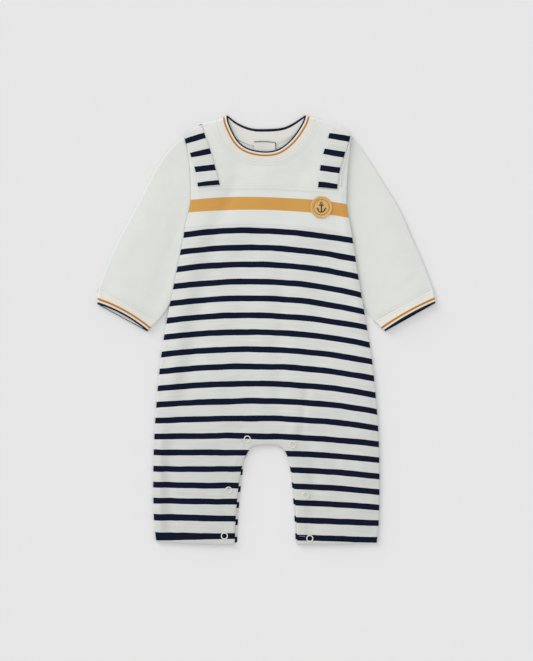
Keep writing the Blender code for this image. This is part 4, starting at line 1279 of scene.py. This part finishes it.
class ROMPER_OT_neck_rib(bpy.types.Operator):
    """Makes the neck rib: its front lies over its back, and it is folded at the shoulders."""

    bl_idname = "romper.neck_rib"
    bl_label = "Neck rib"

    def execute(self, context):
        cloth, colours = context.scene.romper_cloth, context.scene.romper_colours
        wall = cloth.rib_wall / MM
        count = NECK_RIBS * RIB_POINTS
        at = np.linspace(0.0, 1.0, count)
        front_line, back_line = smooth(FRONT_NECK_SEAM), smooth(BACK_NECK_LINE)
        front_edge = at_share(smooth(FRONT_NECK_EDGE), at)
        front_seam = at_share(offset_line(front_line, FRONT_SEAM_SHIFT), at)
        back_edge = at_share(smooth(BACK_NECK_EDGE), at)
        open_by = np.interp(back_line[:, 0], *BACK_SEAM_OPENS)[:, None]
        back_seam = at_share(offset_line(back_line, open_by), at)
        thinned = np.interp(back_edge[:, 0], *BACK_END_THINS)
        on_yoke = on_top_of("yoke_cloth")(at_share(offset_line(front_line, -1.0), at))
        lowest = wall + NECK_CLEARANCE
        sewn = np.maximum(on_yoke - SEWN_DEPTH * wall, lowest)
        fullness = np.sin(np.pi * at)
        free = lowest + MOUTH_LIFT * fullness**MOUTH_FULLNESS
        from_end = np.minimum(at, 1.0 - at)
        fold = 1.0 - ramp(from_end / NECK_FOLD)
        folded = [lowest - NECK_CLEARANCE / 2 + lift for lift in (0.35 * wall, 0.1, -0.35 * wall, -0.1)]
        front_width = np.linalg.norm(front_seam - front_edge, axis=1)
        back_width = np.linalg.norm(back_seam - back_edge, axis=1)
        joined = back_edge[:, 0] > BACK_NECK_JOIN
        line_width = np.where(joined, *BACK_LINE_WIDTHS) * (0.7 + 0.3 * fullness)
        outer, inner, on_cloth = [], [], []
        for share in NECK_ROWS:
            thick = wall * edge_taper(share)
            raised = RIB_RISE * ribs(at, NECK_RIBS) * ramp(from_end / 0.03)
            raised = raised * ramp(share / RIBS_START) * ramp((1.0 - share) / 0.1)
            front = front_edge + share * (front_seam - front_edge)
            back = back_edge + share * (back_seam - back_edge)
            under = free + share * (sewn - free) + 0.5 * (wall - thick)
            low = np.full(count, 0.5 * (wall - thick))
            high = low + thick + raised - ramp((share - 0.88) / 0.12) * thinned
            walls = (under + thick + raised, under, low, high)
            top, under, low, high = [z + fold * (f - z) for z, f in zip(walls, folded)]
            outer.append(both_sides(front, top, back, low))
            inner.append(both_sides(front, under, back, high))
            on_front = np.column_stack([at * along_line(front_edge)[-1], share * front_width])
            on_back = np.column_stack([at * along_line(back_edge)[-1], share * back_width / line_width])
            on_cloth.append(np.vstack([on_front, on_back[::-1]]))
        material = rib_knit("neck_rib_knit", cloth, colours, NECK_LINES)
        obj = tube_mesh("neck_rib_cloth", outer, inner, on_cloth, material, "neck_rib")
        declare_tube(obj, along_line(front_seam)[-1] + along_line(back_seam)[-1], NECK_CUT)
        return {"FINISHED"}


def declare_tube(obj, round_length, width):
    """Works out the smaller of half a tube's surface and its cut size, its length all round by its width; the
    result is not kept.
    """
    surface = sum(face.area for face in obj.data.polygons)
    flat = (round_length * MM, width * MM)
    min(surface / 2.0, flat[0] * flat[1])


def cuff_ends(table):
    """A cuff's seam and mouth, and the direction and the distance from the mouth to the seam."""
    seam, mouth = np.array(table, float)
    towards = (seam[:2] + seam[2:] - mouth[:2] - mouth[2:]) / 2
    depth = np.linalg.norm(towards)
    return seam, mouth, towards / depth, depth


def rounded_height(distance, low, high, radius):
    """The upper side of a flattened tube, rounded down to its middle height at the folds."""
    middle = (low + high) / 2
    reach = np.clip(distance / radius, 0.0, 1.0)
    return middle + (high - middle) * np.sqrt(1.0 - (1.0 - reach) ** 2)


def set_back(share, at, depth):
    """How far the upper side of a cuff is pulled back from its mouth."""
    return depth * (1.0 - share) ** 2 * np.sin(np.pi * at) ** 0.8


def cuff_walls(table, share, at, wall, pull, sleeve_top):
    """One row of a cuff: the outer and the inner points, from one fold over the top and back below."""
    seam, mouth, towards, _ = cuff_ends(table)
    row = mouth + (seam - mouth) * share
    start, end = row[:2], row[2:]
    if share == 1.0:
        start, end = start + CUFF_OVERLAP * towards, end + CUFF_OVERLAP * towards
    width = np.linalg.norm(end - start)
    pulled = np.outer(set_back(share, at, pull), towards)
    plan = start + np.outer(at, end - start)
    inner_plan = start + np.outer((wall + at * (width - 2 * wall)) / width, end - start)
    distance = np.minimum(at, 1.0 - at) * width
    half_lost = 0.5 * (1.0 - edge_taper(share)) * wall
    raised = RIB_RISE * ribs(at, CUFF_RIBS) * ramp(distance / 3.0) * ramp(share / RIBS_START)
    flat = 2 * wall + CUFF_GAP
    high = flat + CUFF_CROWN * np.sin(np.pi * at) ** CUFF_FULLNESS
    top = rounded_height(distance, 0.0, high, CUFF_FOLD) + raised - half_lost
    sewn = np.clip(sleeve_top + 0.05, top - 1.2, top + 1.0)
    top = top + ramp((share - 0.4) / 0.55) * (sewn - top)
    low = flat - rounded_height(distance, 0.0, flat, CUFF_FOLD) + half_lost
    under = np.maximum(top - raised - wall + 2 * half_lost, wall + 0.2)
    above = np.full(len(at), wall - half_lost)
    outer = both_sides(plan + pulled, top, plan, low)
    return outer, both_sides(inner_plan + pulled, under, inner_plan, above)


class ROMPER_OT_cuffs(bpy.types.Operator):
    """Makes the two ribbed cuffs, open at their mouths."""

    bl_idname = "romper.cuffs"
    bl_label = "Cuffs"

    def execute(self, context):
        cloth, colours = context.scene.romper_cloth, context.scene.romper_colours
        sides = (
            ("left", LEFT_CUFF, LEFT_CUFF_LINES, LEFT_SET_BACK),
            ("right", RIGHT_CUFF, RIGHT_CUFF_LINES, RIGHT_SET_BACK),
        )
        for side, table, lines, pull in sides:
            seam, _, towards, depth = cuff_ends(table)
            width = np.linalg.norm(seam[2:] - seam[:2])
            spread = np.linspace(0.0, 1.0, CUFF_RIBS * RIB_POINTS)
            at = 0.75 * spread + 0.25 * (0.5 - 0.5 * np.cos(np.pi * spread))  # closer together at the folds
            across = seam[:2] + at[:, None] * (seam[2:] - seam[:2])
            sleeve_top = on_top_of(f"sleeve_{side}_cloth")(across + 1.4 * towards)
            outer, inner, on_cloth = [], [], []
            for share in CUFF_ROWS:
                walls = cuff_walls(table, share, at, cloth.rib_wall / MM, pull, sleeve_top)
                outer.append(walls[0])
                inner.append(walls[1])
                below = np.column_stack([at * width, np.full(len(at), share * depth)])
                lost = set_back(0.0, at, pull) - set_back(share, at, pull)
                on_cloth.append(np.vstack([below - np.column_stack([0.0 * at, lost]), below[::-1]]))
            material = rib_knit(f"cuff_{side}_knit", cloth, colours, lines)
            node = f"cuff_{side}"
            obj = tube_mesh(f"{node}_cloth", outer, inner, on_cloth, material, node)
            declare_tube(obj, 2 * width, CUFF_CUT)
        return {"FINISHED"}


# ---------------------------------------------------------------- straps, label, patch and snaps


class ROMPER_OT_straps(bpy.types.Operator):
    """Makes the two straps that are sewn flat on the yoke."""

    bl_idname = "romper.straps"
    bl_label = "Straps"

    def execute(self, context):
        cloth, colours = context.scene.romper_cloth, context.scene.romper_colours
        material = banded_jersey("strap_jersey", cloth, colours.ground, colours.navy, BAR_PITCH, BAR_HALF)
        shape = front_shape(context, garment_edge())
        fold = smooth(pairs(RIGHT_STRAP_FOLD), 1.5)
        on_yoke = on_top_of("yoke_cloth", "chest_cloth")
        white = jersey("strap_fold_jersey", cloth, colours.off_white)
        turned_edge = rolled_edge("strap_right_fold", fold, *FOLD_SIZE, on_yoke, white)
        sides = (
            ("left", LEFT_STRAP_BARS, LEFT_STRAP, ()),
            ("right", RIGHT_STRAP_BARS, RIGHT_STRAP, (turned_edge,)),
        )
        for side, bars, table, trims in sides:
            outline = fine_outline(np.array(table, float), EDGE_STEP)
            strap = (f"strap_{side}_cloth", f"strap_{side}", "striped_jersey", material, strap_place(bars))
            cloth_panel(*strap, shape, STRAP_WALL, STRAP_GRID, "yoke_cloth", outline, trims=trims)
        return {"FINISHED"}


def rolled_edge(name, line, width, thickness, height, material):
    """A narrow turned edge of cloth that lies along a line."""
    side = direction(line)[1]
    length = along_line(line)
    rest = height(line)
    taper = np.sqrt(np.clip(np.minimum(length, length[-1] - length) / 2.0, 0.02, 1.0))
    points, on_cloth = [], []
    for angle in np.linspace(0.0, 2 * math.pi, 10, endpoint=False):
        plan = line + side * (0.5 * width * math.cos(angle) * taper)[:, None]
        lift = rest + 0.5 * thickness * taper * (1.0 + math.sin(angle))
        points.append(np.column_stack([plan, lift]))
        on_cloth.append(np.column_stack([length, np.full(len(line), angle * width / 2)]))
    points, on_cloth = np.array(points), np.array(on_cloth)
    index = np.arange(points.shape[0] * points.shape[1]).reshape(points.shape[:2])
    following = np.roll(index, -1, axis=0)
    walls = np.stack([index[:, :-1], index[:, 1:], following[:, 1:], following[:, :-1]], axis=-1)
    faces = walls.reshape(-1, 4)[:, ::-1].tolist() + [index[:, 0].tolist(), index[::-1, -1].tolist()]
    points, on_cloth = points.reshape(-1, 3), on_cloth.reshape(-1, 2)
    return new_object(name, points, faces, on_cloth, material, None)


class ROMPER_OT_neck_label(bpy.types.Operator):
    """Makes the plain label that hangs in the back of the neck, a little wavy, and a line of short navy
    stitches along its top and down its right end.
    """

    bl_idname = "romper.neck_label"
    bl_label = "Neck label"

    def execute(self, context):
        colours = context.scene.romper_colours
        left, right, bottom, top = LABEL
        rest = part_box("neck_label")[0].z / MM + 0.35
        s, t = np.meshgrid(np.linspace(0.0, 1.0, LABEL_COLUMNS + 1), np.linspace(0.0, 1.0, LABEL_ROWS + 1))
        across = left + s * (right - left) + 0.5 * (1.0 - t)
        up = bottom + t * (top - bottom) + 1.1 * np.sin(np.pi * s) * t - 0.9 * s
        wave = 0.3 * np.sin(2.3 * np.pi * s + 1.0) * np.sin(np.pi * t)
        lift = rest + wave + 0.5 * (2 * s - 1) ** 4 + 0.4 * t
        plan = np.column_stack([across.ravel(), up.ravel()])
        index = np.arange(s.size).reshape(s.shape)
        corners = (index[:-1, :-1], index[:-1, 1:], index[1:, 1:], index[1:, :-1])
        quads = np.stack(corners, axis=-1).reshape(-1, 4)
        rim = np.concatenate([index[0], index[1:, -1], index[-1, -2::-1], index[-2:0:-1, 0]]).tolist()
        points, faces = shell(plan, lift.ravel() + LABEL_WALL, lift.ravel(), quads, rim)
        on_cloth = np.vstack([plan, plan])
        material = ribbon("label_ribbon", colours.label)
        obj = new_object("label_ribbon", points, faces, on_cloth, material, "neck_label")
        row = plan.reshape(*s.shape, 2)[-1] + (0.0, -0.2)
        ends = evenly(np.vstack([row, row[-1] + (0.8, -0.4), row[-1] + (0.5, -7.0)]), 1.5)
        thread = plain_thread("label_thread", colours.navy)
        height = on_top_of("label_ribbon", "neck_rib_cloth", "back_yoke_cloth")
        threads("label_stitches", ends[:-1], ends[1:] + 0.1, height, 0.75, 0.03, thread, "label_ribbon", 6)
        return {"FINISHED"}


def on_top_of(*names):
    """A function that gives the height of finished pieces' upper side at any places, in millimetres."""
    vertices, faces = [], []
    for name in names:
        mesh = bpy.data.objects[name].data
        start = len(vertices)
        vertices += [v.co / MM for v in mesh.vertices]
        faces += [[start + i for i in face.vertices] for face in mesh.polygons]
    tree = BVHTree.FromPolygons(vertices, faces)

    def height(places):
        found = []
        for across, up in np.atleast_2d(places):
            hit = tree.ray_cast(Vector((across, up, 100.0)), Vector((0.0, 0.0, -1.0)))[0]
            if hit is None:
                hit = tree.find_nearest(Vector((across, up, 5.0)))[0]
            found.append(hit.z)
        return np.array(found)

    return height


class ROMPER_OT_chest_patch(bpy.types.Operator):
    """Makes the round patch on the chest: twill, an oversewn border and an embroidered anchor."""

    bl_idname = "romper.chest_patch"
    bl_label = "Chest patch"

    def execute(self, context):
        colours = context.scene.romper_colours
        on_chest = on_top_of("chest_cloth")
        base = float(on_chest(np.array([PATCH_CENTRE]))[0])

        def top(plan, share=1.0):
            """The height of the patch over the cloth at this share of its wall. It evens out the cloth."""
            return 0.5 * (base + on_chest(plan)) + share * PATCH_WALL

        middle = PATCH_RADIUS - BORDER_WIDTH / 2
        outline = arc(PATCH_CENTRE, middle, 0.0, 360.0, 73)[:-1]
        places, triangles, rim = fill(outline, 1.6)
        points, faces = shell(places, top(places, 0.95), top(places, 0.05), triangles, rim)
        cloth = twill("patch_twill", colours.gold)
        on_cloth = np.tile(places, (2, 1))
        disc = new_object("patch_disc", points, faces, on_cloth, cloth, "chest_patch")
        area_of(places, triangles)
        border = plain_thread("patch_border_thread", rgba(colours.gold, BORDER_SHADE), 0.6)
        turns = np.linspace(0.0, 360.0, BORDER_STITCHES, endpoint=False)
        slant = 360.0 / BORDER_STITCHES
        inner = np.vstack([arc(PATCH_CENTRE, PATCH_RADIUS - BORDER_WIDTH, turn, turn, 1) for turn in turns])
        outer = np.vstack([arc(PATCH_CENTRE, PATCH_RADIUS, turn + slant, turn + slant, 1) for turn in turns])

        def border_height(plan):
            return top(plan, 0.55)

        satin = (border_height, 0.5, 0.75, border, "patch_cloth", PATCH_THREAD_SIDES)
        threads("patch_border", inner, outer, *satin)
        thread = plain_thread("patch_motif_thread", rgba(colours.navy, MOTIF_SHADE), 0.55)
        embroider("patch_anchor", anchor_strokes(), PATCH_CENTRE, top, thread)
        ring = plain_thread("patch_ring_thread", rgba(colours.gold, RING_SHADE), 0.55)
        ring_line = arc((0.0, 0.0), RING_RADIUS, 0.0, 360.0, 60)
        embroider("patch_ring", ((ring_line, RING_WIDTH),), PATCH_CENTRE, top, ring)
        return {"FINISHED"}


def arc(centre, radius, start, end, count=14):
    """Points on an arc, with its angles in degrees."""
    angles = np.radians(np.linspace(start, end, count))
    return np.column_stack([centre[0] + radius * np.cos(angles), centre[1] + radius * np.sin(angles)])


def anchor_strokes():
    """The satin-stitch strokes of a small anchor inside a ring: (line from the patch's centre, width)."""
    return (
        (np.array([(0.0, 3.4), (0.0, -6.2)]), 1.5),
        (np.array([(-3.0, 2.4), (3.0, 2.4)]), 1.2),
        (arc((0.0, 5.0), 1.35, -90.0, 270.0, 20), 0.8),
        (arc((0.0, -1.2), 5.0, 200.0, 340.0, 20), 1.3),
        (np.array([(-6.0, -1.7), (-4.5, -1.2), (-3.6, -3.2)]), 0.9),
        (np.array([(6.0, -1.7), (4.5, -1.2), (3.6, -3.2)]), 0.9),
    )


def embroider(name, strokes, centre, height, material):
    """Satin stitches: short rounded threads that lie side by side across each stroke."""
    starts, ends = [], []
    for line, width in strokes:
        middles = evenly(line, 0.36)
        along, left = direction(middles)
        side = left + 0.25 * along
        starts.append(middles - side * width / 2)
        ends.append(middles + side * width / 2)
    starts = np.vstack(starts) + np.array(centre)
    ends = np.vstack(ends) + np.array(centre)
    return threads(name, starts, ends, height, 0.4, 0.12, material, "patch_cloth", PATCH_THREAD_SIDES)


def stitch_blank(sides):
    """One stitch along X, 1 long and 1 thick, with narrow ends: its points and faces."""
    bpy.ops.object.select_all(action="DESELECT")
    bpy.ops.mesh.primitive_cylinder_add(
        vertices=sides, radius=0.5, depth=1.0, location=(0.5, 0.0, 0.0), rotation=(0.0, math.pi / 2, 0.0)
    )
    made = bpy.context.active_object
    bpy.ops.object.transform_apply(location=True, rotation=True, scale=True)
    bpy.ops.object.mode_set(mode="EDIT")
    for cut in (0.12, 0.5, 0.88):
        bpy.ops.mesh.select_all(action="SELECT")
        bpy.ops.mesh.bisect(plane_co=(cut, 0.0, 0.0), plane_no=(1.0, 0.0, 0.0))
    bpy.ops.mesh.select_all(action="DESELECT")
    bpy.ops.object.mode_set(mode="OBJECT")
    for vertex in made.data.vertices:
        vertex.select = not 0.05 < vertex.co.x < 0.95
    bpy.ops.object.mode_set(mode="EDIT")
    bpy.ops.transform.resize(value=(1.0, 0.3, 0.3), center_override=(0.5, 0.0, 0.0))
    bpy.ops.object.mode_set(mode="OBJECT")
    points = np.array([vertex.co for vertex in made.data.vertices])
    faces = [tuple(face.vertices) for face in made.data.polygons]
    bpy.data.objects.remove(made)
    return points, faces


def threads(name, starts, ends, height, thickness, bow, material, slot, sides):
    """Many short stitches as one mesh. Each arches a little and dips into the cloth at its ends."""
    blank, blank_faces = stitch_blank(sides)
    share, across, up = blank.T
    span = ends - starts
    length = np.linalg.norm(span, axis=1)
    along = span / length[:, None]
    side = np.column_stack([-along[:, 1], along[:, 0]])
    rest = height((starts + ends) / 2)
    plan = starts[:, None] + share[None, :, None] * span[:, None]
    plan = plan + (thickness * across)[None, :, None] * side[:, None]
    middle = np.interp(share, (0.0, 0.12, 0.88, 1.0), (-0.5, 0.3, 0.3, -0.5)) * thickness
    lift = middle + thickness * up + bow * 4.0 * share * (1.0 - share)
    points = np.concatenate([plan, (rest[:, None] + lift[None, :])[:, :, None]], axis=2)
    faces = [
        tuple(first + index for index in face)
        for first in range(0, len(starts) * len(blank), len(blank))
        for face in blank_faces
    ]
    on_cloth = np.empty((len(starts), len(blank), 2))
    on_cloth[:, :, 0] = share[None, :] * length[:, None]
    on_cloth[:, :, 1] = (thickness * across)[None, :] + np.arange(len(starts))[:, None]
    return new_object(name, points.reshape(-1, 3), faces, on_cloth.reshape(-1, 2), material, None)


def ring_blank(name):
    """One open ring at the origin, flat below, with dents where its prongs are clenched."""
    thickness, high = (SNAP_OUTER - SNAP_INNER) * MM, SNAP_HEIGHT * MM
    bpy.ops.object.select_all(action="DESELECT")
    bpy.ops.mesh.primitive_torus_add(
        major_segments=SNAP_SIDES,
        minor_segments=14,
        major_radius=(SNAP_OUTER + SNAP_INNER) / 2 * MM,
        minor_radius=thickness / 2,
    )
    made = bpy.context.active_object
    made.name = name
    bpy.ops.object.mode_set(mode="EDIT")
    bpy.ops.mesh.select_all(action="SELECT")
    bpy.ops.transform.resize(value=(1.0, 1.0, 1.2 * high / thickness), center_override=(0.0, 0.0, 0.0))
    bpy.ops.transform.translate(value=(0.0, 0.0, 0.4 * SNAP_HEIGHT * MM))
    for number in range(SNAP_DENTS):
        bpy.ops.mesh.select_all(action="DESELECT")
        bpy.ops.object.mode_set(mode="OBJECT")
        turn = 2 * math.pi * (number + 0.3) / SNAP_DENTS
        for vertex in made.data.vertices:
            apart = abs(math.remainder(math.atan2(vertex.co.y, vertex.co.x) - turn, 2 * math.pi))
            inside = math.hypot(vertex.co.x, vertex.co.y) < (SNAP_OUTER + SNAP_INNER) / 2 * MM
            vertex.select = apart < 0.2 and inside and vertex.co.z > 0.3 * SNAP_HEIGHT * MM
        bpy.ops.object.mode_set(mode="EDIT")
        bpy.ops.transform.translate(value=(0.0, 0.0, -0.22 * SNAP_HEIGHT * MM))
    bpy.ops.object.mode_set(mode="OBJECT")
    made.data.shade_smooth()
    return made


class ROMPER_OT_snaps(bpy.types.Operator):
    """Makes the six open ring snaps along the inside legs."""

    bl_idname = "romper.snaps"
    bl_label = "Ring snaps"

    def execute(self, context):
        blank = ring_blank("snap_blank")
        blank.data.materials.append(enamel("snap_enamel", context.scene.romper_colours.pearl))
        on_front = on_top_of("front_cloth")
        for number, centre in enumerate(SNAPS, 1):
            level = float(np.mean(on_front(arc(centre, SNAP_OUTER, 0.0, 315.0, 8))))
            ring = blank.copy()
            ring.data = blank.data.copy()
            ring.name = f"snap_{number}"
            ring.data.transform(Matrix.Translation(Vector((*centre, level)) * MM))
            context.scene.collection.objects.link(ring)
            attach(ring, "root")
            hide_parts(f"snap_ring_{number}")
        bpy.data.objects.remove(blank)
        return {"FINISHED"}


# ---------------------------------------------------------------- stitching


def stitch_row(line, stitches):
    """The start and end of each stitch on a line."""
    length, total = stitches.stitch / MM, along_line(line)[-1]
    starts = np.arange(0.5, total - length, stitches.pitch / MM)
    return at_share(line, starts / total), at_share(line, (starts + length) / total)


def sew(name, lines, height, material, stitches, slot):
    """Rows of stitches along lines, as one mesh."""
    rows = [stitch_row(line, stitches) for line in lines]
    starts = np.vstack([start for start, _ in rows])
    ends = np.vstack([end for _, end in rows])
    return threads(name, starts, ends, height, stitches.thread / MM, 0.04, material, slot, stitches.sides)


class ROMPER_OT_stitching(bpy.types.Operator):
    """Sews the seams: twin rows under the yoke seam and round the neck, and single rows elsewhere."""

    bl_idname = "romper.stitching"
    bl_label = "Stitching"

    def execute(self, context):
        colours, stitches = context.scene.romper_colours, context.scene.romper_stitches
        twin = stitches.twin / MM
        white = plain_thread("white_thread", colours.off_white)
        ground = plain_thread("ground_thread", colours.ground)
        on_yoke = on_top_of("yoke_cloth", "chest_cloth")
        yoke_seam, band_seam = [smooth(seam[1:-1:2]) for seam in front_seams()]
        neck = smooth(FRONT_NECK_SEAM)[3:-3]
        below = [offset_line(yoke_seam, -1.4), offset_line(yoke_seam, -1.4 - twin)]
        around = [offset_line(neck, -1.8), offset_line(neck, -1.8 - 0.8 * twin)]
        sew("yoke_stitches", below + around, on_yoke, white, stitches, "white_jersey")
        on_body = on_top_of("front_cloth")
        sew("waist_stitches", [offset_line(band_seam, -1.5)], on_body, ground, stitches, "striped_jersey")
        hem_marks = [evenly(pairs(mark), 1.0) for mark in HEM_MARKS]
        sew("hem_stitches", hem_marks, on_body, ground, stitches, "striped_jersey")
        for side, table in (("left", LEFT_CUFF), ("right", RIGHT_CUFF)):
            seam, _, towards, _ = cuff_ends(table)
            line = evenly(seam.reshape(2, 2), 2.0)[2:-2]
            rows = [line + (1.8 + k * 0.8 * twin) * towards for k in range(2)]
            on_sleeve = on_top_of(f"sleeve_{side}_cloth")
            sew(f"sleeve_{side}_stitches", rows, on_sleeve, white, stitches, "white_jersey")
        return {"FINISHED"}


# ---------------------------------------------------------------- camera, light and ground


class ROMPER_OT_stage(bpy.types.Operator):
    """Sets the camera, the light and the ground."""

    bl_idname = "romper.stage"
    bl_label = "Stage"

    def execute(self, context):
        stage = context.scene.romper_stage
        camera = bpy.data.cameras.new("camera")
        camera.sensor_fit = "VERTICAL"
        camera.angle = 2.0 * math.atan(stage.view_height / 2.0 / stage.camera_height)
        eye = bpy.data.objects.new("camera", camera)
        eye.location = (*CAMERA_PLACE, stage.camera_height)
        context.scene.collection.objects.link(eye)
        context.scene.camera = eye

        key = bpy.data.lights.new("key_light", "SUN")
        key.energy = stage.key_strength
        key.angle = stage.key_softness
        lamp = bpy.data.objects.new("key_light", key)
        lamp.location = LAMP_PLACE
        lamp.rotation_euler = (-lamp.location).to_track_quat("-Z", "Y").to_euler()
        context.scene.collection.objects.link(lamp)

        world = bpy.data.worlds.new("soft_light")
        world.use_nodes = True
        world.node_tree.nodes["Background"].inputs["Color"].default_value = (1.0, 1.0, 1.0, 1.0)
        world.node_tree.nodes["Background"].inputs["Strength"].default_value = stage.fill
        context.scene.world = world
        context.scene.view_settings.view_transform = "Standard"

        bpy.ops.object.select_all(action="DESELECT")
        bpy.ops.mesh.primitive_plane_add(size=12.0, location=(0.0, 0.0, -0.0002))
        ground = context.active_object
        ground.name = "ground"
        bpy.ops.object.transform_apply(location=True, rotation=True, scale=True)
        shader = Shader("ground", 0.9)
        grain = shader.noise(40.0, 2.0, shader.on_object()) * 0.01 + 0.995
        ground.data.materials.append(shader.finish(shader.toned(stage.ground, grain)))
        return {"FINISHED"}


# ---------------------------------------------------------------- panel and registration

STEPS = (
    ROMPER_OT_stage,
    ROMPER_OT_back,
    ROMPER_OT_sleeves,
    ROMPER_OT_cuffs,
    ROMPER_OT_front,
    ROMPER_OT_neck_rib,
    ROMPER_OT_neck_label,
    ROMPER_OT_straps,
    ROMPER_OT_chest_patch,
    ROMPER_OT_snaps,
    ROMPER_OT_stitching,
)
GROUPS = {
    "romper_cloth": RomperCloth,
    "romper_colours": RomperColours,
    "romper_stitches": RomperStitches,
    "romper_stage": RomperStage,
}


class ROMPER_PT_panel(bpy.types.Panel):
    """Lists the pieces of the romper, with their sizes and colours."""

    bl_idname = "ROMPER_PT_panel"
    bl_label = "Striped romper"
    bl_space_type = "VIEW_3D"
    bl_region_type = "UI"
    bl_category = "Romper"

    def draw(self, context):
        for name in GROUPS:
            group = getattr(context.scene, name)
            box = self.layout.box()
            for key in group.__annotations__:
                box.prop(group, key)
        for step in STEPS:
            self.layout.operator(step.bl_idname)


def register():
    for made in (*GROUPS.values(), *STEPS, ROMPER_PT_panel):
        bpy.utils.register_class(made)
    for name, group in GROUPS.items():
        setattr(bpy.types.Scene, name, PointerProperty(type=group))


def unregister():
    for name in GROUPS:
        delattr(bpy.types.Scene, name)
    for made in reversed((*GROUPS.values(), *STEPS, ROMPER_PT_panel)):
        bpy.utils.unregister_class(made)


def main():
    register()
    for step in STEPS:
        getattr(bpy.ops.romper, step.bl_idname.partition(".")[2])()


if __name__ == "__main__":
    main()
